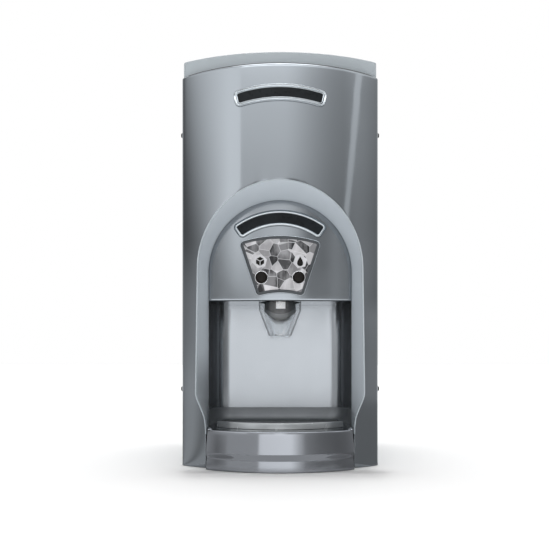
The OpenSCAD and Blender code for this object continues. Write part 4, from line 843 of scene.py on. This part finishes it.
SINK_BACK = -192.0
SINK = bowed(249.0, -287.0, 4.0, 150.4, SINK_BACK)
SINK_FACE = [(0.0, 1.0), (0.45, 8.0), (1.1, 16.0), (1.65, 22.2), (1.8, 24.2), (1.7, 25.6), (1.2, 28.2), (0.4, 31.8),
             (0.05, 33.6), (-0.1, 34.8), (0.02, 36.4), (0.16, 38.0), (0.65, 44.0), (1.35, 53.0), (2.1, 62.0),
             (2.85, 71.0)]
SINK_FACE += arc((6.6, 77.6), 3.2, 180, 90, 4)
sink_rows = [inset(SINK, d + 0.2, z) for d, z in SINK_FACE] + [inset(SINK, 12.0, 80.8)]
add_piece("sink_front", sheet(sink_rows), "silver_plastic", "sink_basin", toward=(0, -9000, 40), thick=2.2, sharp=50)

POCKET_BACK = -28.0
POCKET = bowed(167.0, -226.0, 4.0, 126.0, POCKET_BACK)
deck_rear = [(150.0, SINK_BACK), (153.0, -186.0), (153.0, -60.0), (120.0, -20.0)]
deck_rear += [(-x, y) for x, y in reversed(deck_rear)]
deck_rings = [inset(SINK, 8.0, z) + [(x, y, z) for x, y in deck_rear] for z in (78.4, 80.7)]
deck = add_piece("sink_deck", loft(deck_rings), "silver_plastic", "sink_basin")
cut(deck, loft([inset(POCKET, 0.0, z) for z in (70.0, 90.0)]))
BOWL = [(6.0, 30.0), (2.0, 31.2), (0.0, 34.5), (0.0, 80.0), (-2.4, 80.0), (-2.4, 27.0)]
bowl_rings = [inset(POCKET, d, z, POCKET_BACK) for d, z in BOWL]
bowl = add_piece("sink_bowl", loft(bowl_rings), "silver_plastic", "sink_basin")
cut(bowl, rod(11.0, 20.0, 40.0, (0, -64.0, 0), "z", 48))


# Cup grille: its lip by (distance inwards, share of the height), which is highest in front

GRILLE_R = 175.0
GRILLE_Y = -234.0
GRILLE_Z = 81.3
GRILLE_BACK = -20.0
SLOT_PITCH = 12.0
GRILLE = bowed(GRILLE_R, GRILLE_Y, 4.0, 134.0, GRILLE_BACK)
LIP = [(0.0, 0.0), (0.5, 0.3), (1.6, 0.8), (2.2, 0.95), (3.0, 1.0), (3.9, 0.95), (4.4, 0.8), (4.6, 0.3), (4.6, 0.0)]
lip_rings = []
for x, y, nx, ny in GRILLE:
    top = 3.0 + 9.7 * share(y, -116.6, -168.6)
    lip_rings.append([(x - nx * d, y - ny * d, GRILLE_Z + top * h) for d, h in LIP])
add_piece("grille_lip", loft(lip_rings), "grille_grey", "cup_grille", "grille", sharp=50)
plate_rings = [inset(GRILLE, 4.0, z, GRILLE_BACK + 4.0) for z in (GRILLE_Z, GRILLE_Z + 3.0)]
grille = add_piece("grille_plate", loft(plate_rings), "grille_grey", "cup_grille", "grille")
slots = []
for x in [SLOT_PITCH * i for i in range(-9, 10)]:
    slots.append(block((x - 3.0, bow(GRILLE_R, GRILLE_Y, x) + 14.0, 70.0), (x + 3.0, -132.0, 95.0)))
cut(grille, *slots)


# Camera, by the photo's width, its focal length and the place straight ahead, in pixels

PHOTO = 549.0
FOCAL = 751.0
AHEAD = (280.1, 360.0)
SENSOR = 36.0

cam_data = bpy.data.cameras.new("camera")
cam_data.sensor_width = SENSOR
cam_data.lens = FOCAL / PHOTO * SENSOR
cam_data.shift_x = (PHOTO / 2 - AHEAD[0]) / PHOTO
cam_data.shift_y = (AHEAD[1] - PHOTO / 2) / PHOTO
camera = placed("camera", cam_data)
camera.location = (0.0, -1.754, 0.222)
camera.rotation_euler = (math.radians(90.0), 0.0, 0.0)
bpy.context.scene.camera = camera
bpy.context.scene.view_settings.view_transform = "Standard"


# Sky and floor

world = bpy.data.worlds.new("studio")
bpy.context.scene.world = world
world.use_nodes = True
sky = world.node_tree
direction = sky.nodes.new("ShaderNodeTexCoord").outputs["Generated"]


def sky_part(towards, start, end, low, high):
    """Light that changes from low to high as a direction nears another."""
    dot = sky.nodes.new("ShaderNodeVectorMath")
    dot.operation = "DOT_PRODUCT"
    dot.inputs[1].default_value = towards
    sky.links.new(direction, dot.inputs[0])
    return map_range(sky, dot.outputs["Value"], start, end, low, high)


def sky_sum(first, second, third):
    """First times second, plus third, where each is a number or another node's output."""
    node = sky.nodes.new("ShaderNodeMath")
    node.operation = "MULTIPLY_ADD"
    for socket, value in zip(node.inputs, (first, second, third)):
        if isinstance(value, float):
            socket.default_value = value
        else:
            sky.links.new(value, socket)
    return node.outputs["Value"]


def staged(name, verts, faces, mat):
    """A piece of the studio, which isn't part of the object. Lengths are metres."""
    mesh = bpy.data.meshes.new(name)
    mesh.from_pydata(verts, [], faces)
    mesh.materials.append(mat)
    obj = placed(name, mesh)
    return obj


zenith = sky_part((0.0, 0.0, 1.0), 0.62, 0.85, 0.0, 0.3)
lamp = sky_part((0.0, 0.2, 0.98), 0.945, 0.975, 0.0, 4.5)
polish = sky_sum(sky.nodes.new("ShaderNodeLightPath").outputs["Is Glossy Ray"], 1.5, 1.0)
strength = sky_sum(sky_sum(zenith, 1.0, lamp), polish, 1.0)
sky.links.new(strength, sky.nodes["Background"].inputs["Strength"])
sky.nodes["Background"].inputs["Color"].default_value = (1.0, 1.0, 1.0, 1.0)

QUAD = (0, 1, 2, 3)
FLOOR = 30.0
floor_mat = finish("floor_white", (0.82, 0.82, 0.82), 0.9, 0.0, 0.004, 2.0, 30.0, 0.00001, specular=0.0)
staged("floor", [(-FLOOR, -FLOOR, 0), (FLOOR, -FLOOR, 0), (FLOOR, FLOOR, 0), (-FLOOR, FLOOR, 0)], [QUAD], floor_mat)


# Light round the front: levels by angle, in degrees to the right of the camera's own direction

FALL = [(5, 1.0), (12, 0.92), (21, 0.78), (29, 0.66), (38, 0.55), (47, 0.47), (56, 0.43), (61, 0.46), (68, 0.53),
        (76, 0.5), (88, 0.4), (95, 0.36)]
CONSOLE = [(-20, 0.42), (-18, 0.64), (-16.3, 0.84), (-15, 1.0), (-13.5, 1.18), (-12, 1.27), (-8, 1.5), (-4, 1.8),
           (1, 2.0), (5, 1.5), (8.5, 0.62), (13, 0.56), (15, 0.64), (16.5, 0.85), (18.5, 0.75), (20, 0.6)]
CONSOLE_FOOT = [(-20, 0.34), (-16, 0.62), (-12, 0.9), (-8, 1.1), (-6.5, 1.3), (-5, 2.7), (3.5, 2.8), (6, 1.2),
                (9, 0.5), (13, 0.46), (15, 0.54), (16.5, 0.68), (20, 0.5)]
FRONT = [(-90, 0.6), (-60, 1.15), (-22, 1.2), (-20.5, 2.7), (11, 2.9), (26, 0.8), (40, 0.52), (50, 0.45), (61, 0.41),
         (70, 0.46), (80, 0.64), (100, 0.66)]
FOOT = [(-100, 0.42), (-90, 0.75), (-85, 0.94), (-78, 0.96), (-72, 0.76), (-66, 0.5), (-62, 0.6), (-55, 0.9)]
RING_R = 2.6
RING_Y = -0.2
RING_TOP = 2.6
RING_SPAN = 100.0
# Cards on the floor: their height, and the place that those beside the object fan out from
CARD_Z = 0.002
CARD_X = 0.19
CARD_Y = -0.17


def mixed(first, second, amount):
    """From first to second, by an amount from 0 to 1."""
    return first * (1 - amount) + second * amount


def ring_level(angle, height):
    """Level for polished surfaces at an angle in degrees and a height in metres."""
    # The panel's left side dims towards the back, and the rest follows FALL
    if angle < -34.0:
        level = 0.25 + 2.15 * share(angle, -91.0, -45.0) ** math.exp(-1.5 * (height - 1.25))
    else:
        level = (1.6 + 0.9 * (height - 1.25) + 6.0 * max(0.0, height - 1.6) ** 2) * along(angle, FALL)
    # The console sees the middle, below what the panel over it sees
    if abs(angle) < 22.0:
        lift = 1.0 + 2.8 * min(0.3, max(0.0, height - 0.58)) * share(angle, -8.0, -13.0)
        console = mixed(along(angle, CONSOLE) * lift, along(angle, CONSOLE_FOOT), share(height, 0.63, 0.58))
        level = mixed(console, level, share(height, 1.08, 1.18))
    # A slanting streak shows on the panel's right side, whose lower part is a little lighter
    rise = max(0.0, height - 1.15)
    if height > 0.8 and abs(angle - 63.7 - (height - 1.28) * 17.0) < 2.4 + 2.0 * rise:
        level = 1.4 + 0.7 * rise
    if angle > 60.0:
        level *= 1.0 + 0.3 * share(height, 0.95, 0.65)
    # The lowest band is what the foot of the panel and the sink see
    start, end = (0.3, 0.85) if angle < -55.0 else (0.47, 0.52)
    band = along(angle, FRONT) * (1.0 + max(0.0, height - 0.3))
    level = mixed(band, level, share(height, start, end))
    if angle < -55.0:
        level = mixed(along(angle, FOOT), level, share(height, 0.1, 0.35))
    return level


def soft_level(angle, height):
    """Level for matt surfaces, plain but for darker sides and a brighter foot."""
    foot = share(height, 0.9, 0.6)
    return along(angle, [(-60, 0.35 + 0.45 * foot), (-30, 0.92), (25, 1.0), (50, 0.5)]) * (0.72 + 0.9 * foot)


def light_material(name):
    """A new material with a light in place of a shader: its tree and the light."""
    mat = bpy.data.materials.new(name)
    mat.use_nodes = True
    tree = mat.node_tree
    tree.nodes.remove(tree.nodes["Principled BSDF"])
    return mat, tree, tree.nodes.new("ShaderNodeEmission")


def glowing(name, verts, faces, levels):
    """Light with a level for each face, which the camera doesn't see."""
    mat, tree, light = light_material(name)
    attribute = tree.nodes.new("ShaderNodeAttribute")
    attribute.attribute_name = "glow"
    tree.links.new(attribute.outputs["Fac"], light.inputs["Strength"])
    tree.links.new(light.outputs["Emission"], tree.nodes["Material Output"].inputs["Surface"])
    obj = staged(name, verts, faces, mat)
    obj.data.attributes.new("glow", "FLOAT", "FACE").data.foreach_set("value", levels)
    obj.visible_camera = obj.visible_shadow = False
    return obj


def ring(name, rule):
    """A curved wall of light and dark in front of the object, with a level by angle and height."""
    cols, rows = 240, 60
    verts = []
    levels = []
    for i in range(cols + 1):
        angle = math.radians(-RING_SPAN + 2 * RING_SPAN * i / cols)
        x, y = RING_R * math.sin(angle), RING_Y - RING_R * math.cos(angle)
        verts += [(x, y, RING_TOP * j / rows) for j in range(rows + 1)]
    for i in range(cols):
        angle = -RING_SPAN + 2 * RING_SPAN * (i + 0.5) / cols
        levels += [rule(angle, RING_TOP * (j + 0.5) / rows) for j in range(rows)]
    return glowing(name, verts, grid_faces(cols + 1, rows + 1), levels)


def floor_card(name, side, levels):
    """Part of the floor beside the object as its polished sides see it, with a level by direction."""
    steps = 100
    verts = []
    for i in range(steps + 1):
        angle = math.radians(i - 110.0) * -side
        for r in (0.01, 2.4 if i <= 60 else 0.35):
            verts.append((side * CARD_X + math.sin(angle) * r, CARD_Y - math.cos(angle) * r, CARD_Z))
    faces = [(2 * i, 2 * i + 1, 2 * i + 3, 2 * i + 2) for i in range(steps)]
    return glowing(name, verts, faces, [along(i - 109.5, levels) for i in range(steps)])


def card(name, corners, level):
    """A card with a level that only matt surfaces see, and only from its front."""
    mat, tree, light = light_material(name)
    light.inputs["Strength"].default_value = level
    clear = tree.nodes.new("ShaderNodeBsdfTransparent")
    pick = tree.nodes.new("ShaderNodeMixShader")
    tree.links.new(tree.nodes.new("ShaderNodeNewGeometry").outputs["Backfacing"], pick.inputs["Fac"])
    tree.links.new(light.outputs["Emission"], pick.inputs[1])
    tree.links.new(clear.outputs["BSDF"], pick.inputs[2])
    tree.links.new(pick.outputs["Shader"], tree.nodes["Material Output"].inputs["Surface"])
    obj = staged(name, corners, [QUAD], mat)
    obj.visible_camera = obj.visible_glossy = obj.visible_transmission = obj.visible_shadow = False
    return obj


ring("studio_ring", ring_level).visible_diffuse = False
soft = ring("soft_ring", soft_level)
soft.visible_glossy = soft.visible_transmission = False

# Dark flags beside the alcove and over the floor in front of the foot, and a reflector before them
for name, x, first, last, top in (("left_flag", -0.11, -0.12, -0.29, 0.2), ("right_flag", 0.11, -0.29, -0.12, 0.125)):
    card(name, [(x, first, 0.085), (x, last, 0.085), (x, last, top), (x, first, top)], 0.0)
for name, back, front, z in (("foot_flag", -0.298, -0.324, 0.12), ("toe_flag", -0.25, -0.28, 0.06)):
    corners = [(-0.2, back, z), (0.215, back, z), (0.215, front, z), (-0.2, front, z)]
    card(name, corners, 0.0).visible_shadow = True
card("reflector", [(-0.5, -1.1, 0.005), (0.5, -1.1, 0.005), (0.5, -0.4, 0.005), (-0.5, -0.4, 0.005)], 2.6)

# The floor as the polished sides and front see it
floor_card("left_card", -1, [(angle, 0.95 * level) for angle, level in FOOT]).visible_diffuse = False
floor_card("right_card", 1, [(0, 0.42)]).visible_diffuse = False
patches = [(-0.3, -1.5), (0.3, -1.5), (0.6, -2.78), (-0.6, -2.78)]
patches += [(-0.19, -0.3), (0.19, -0.3), (0.19, -0.65), (-0.19, -0.65)]
front_card = glowing("front_card", [(x, y, CARD_Z) for x, y in patches], [QUAD, (4, 5, 6, 7)], [2.3, 1.1])
front_card.visible_diffuse = False
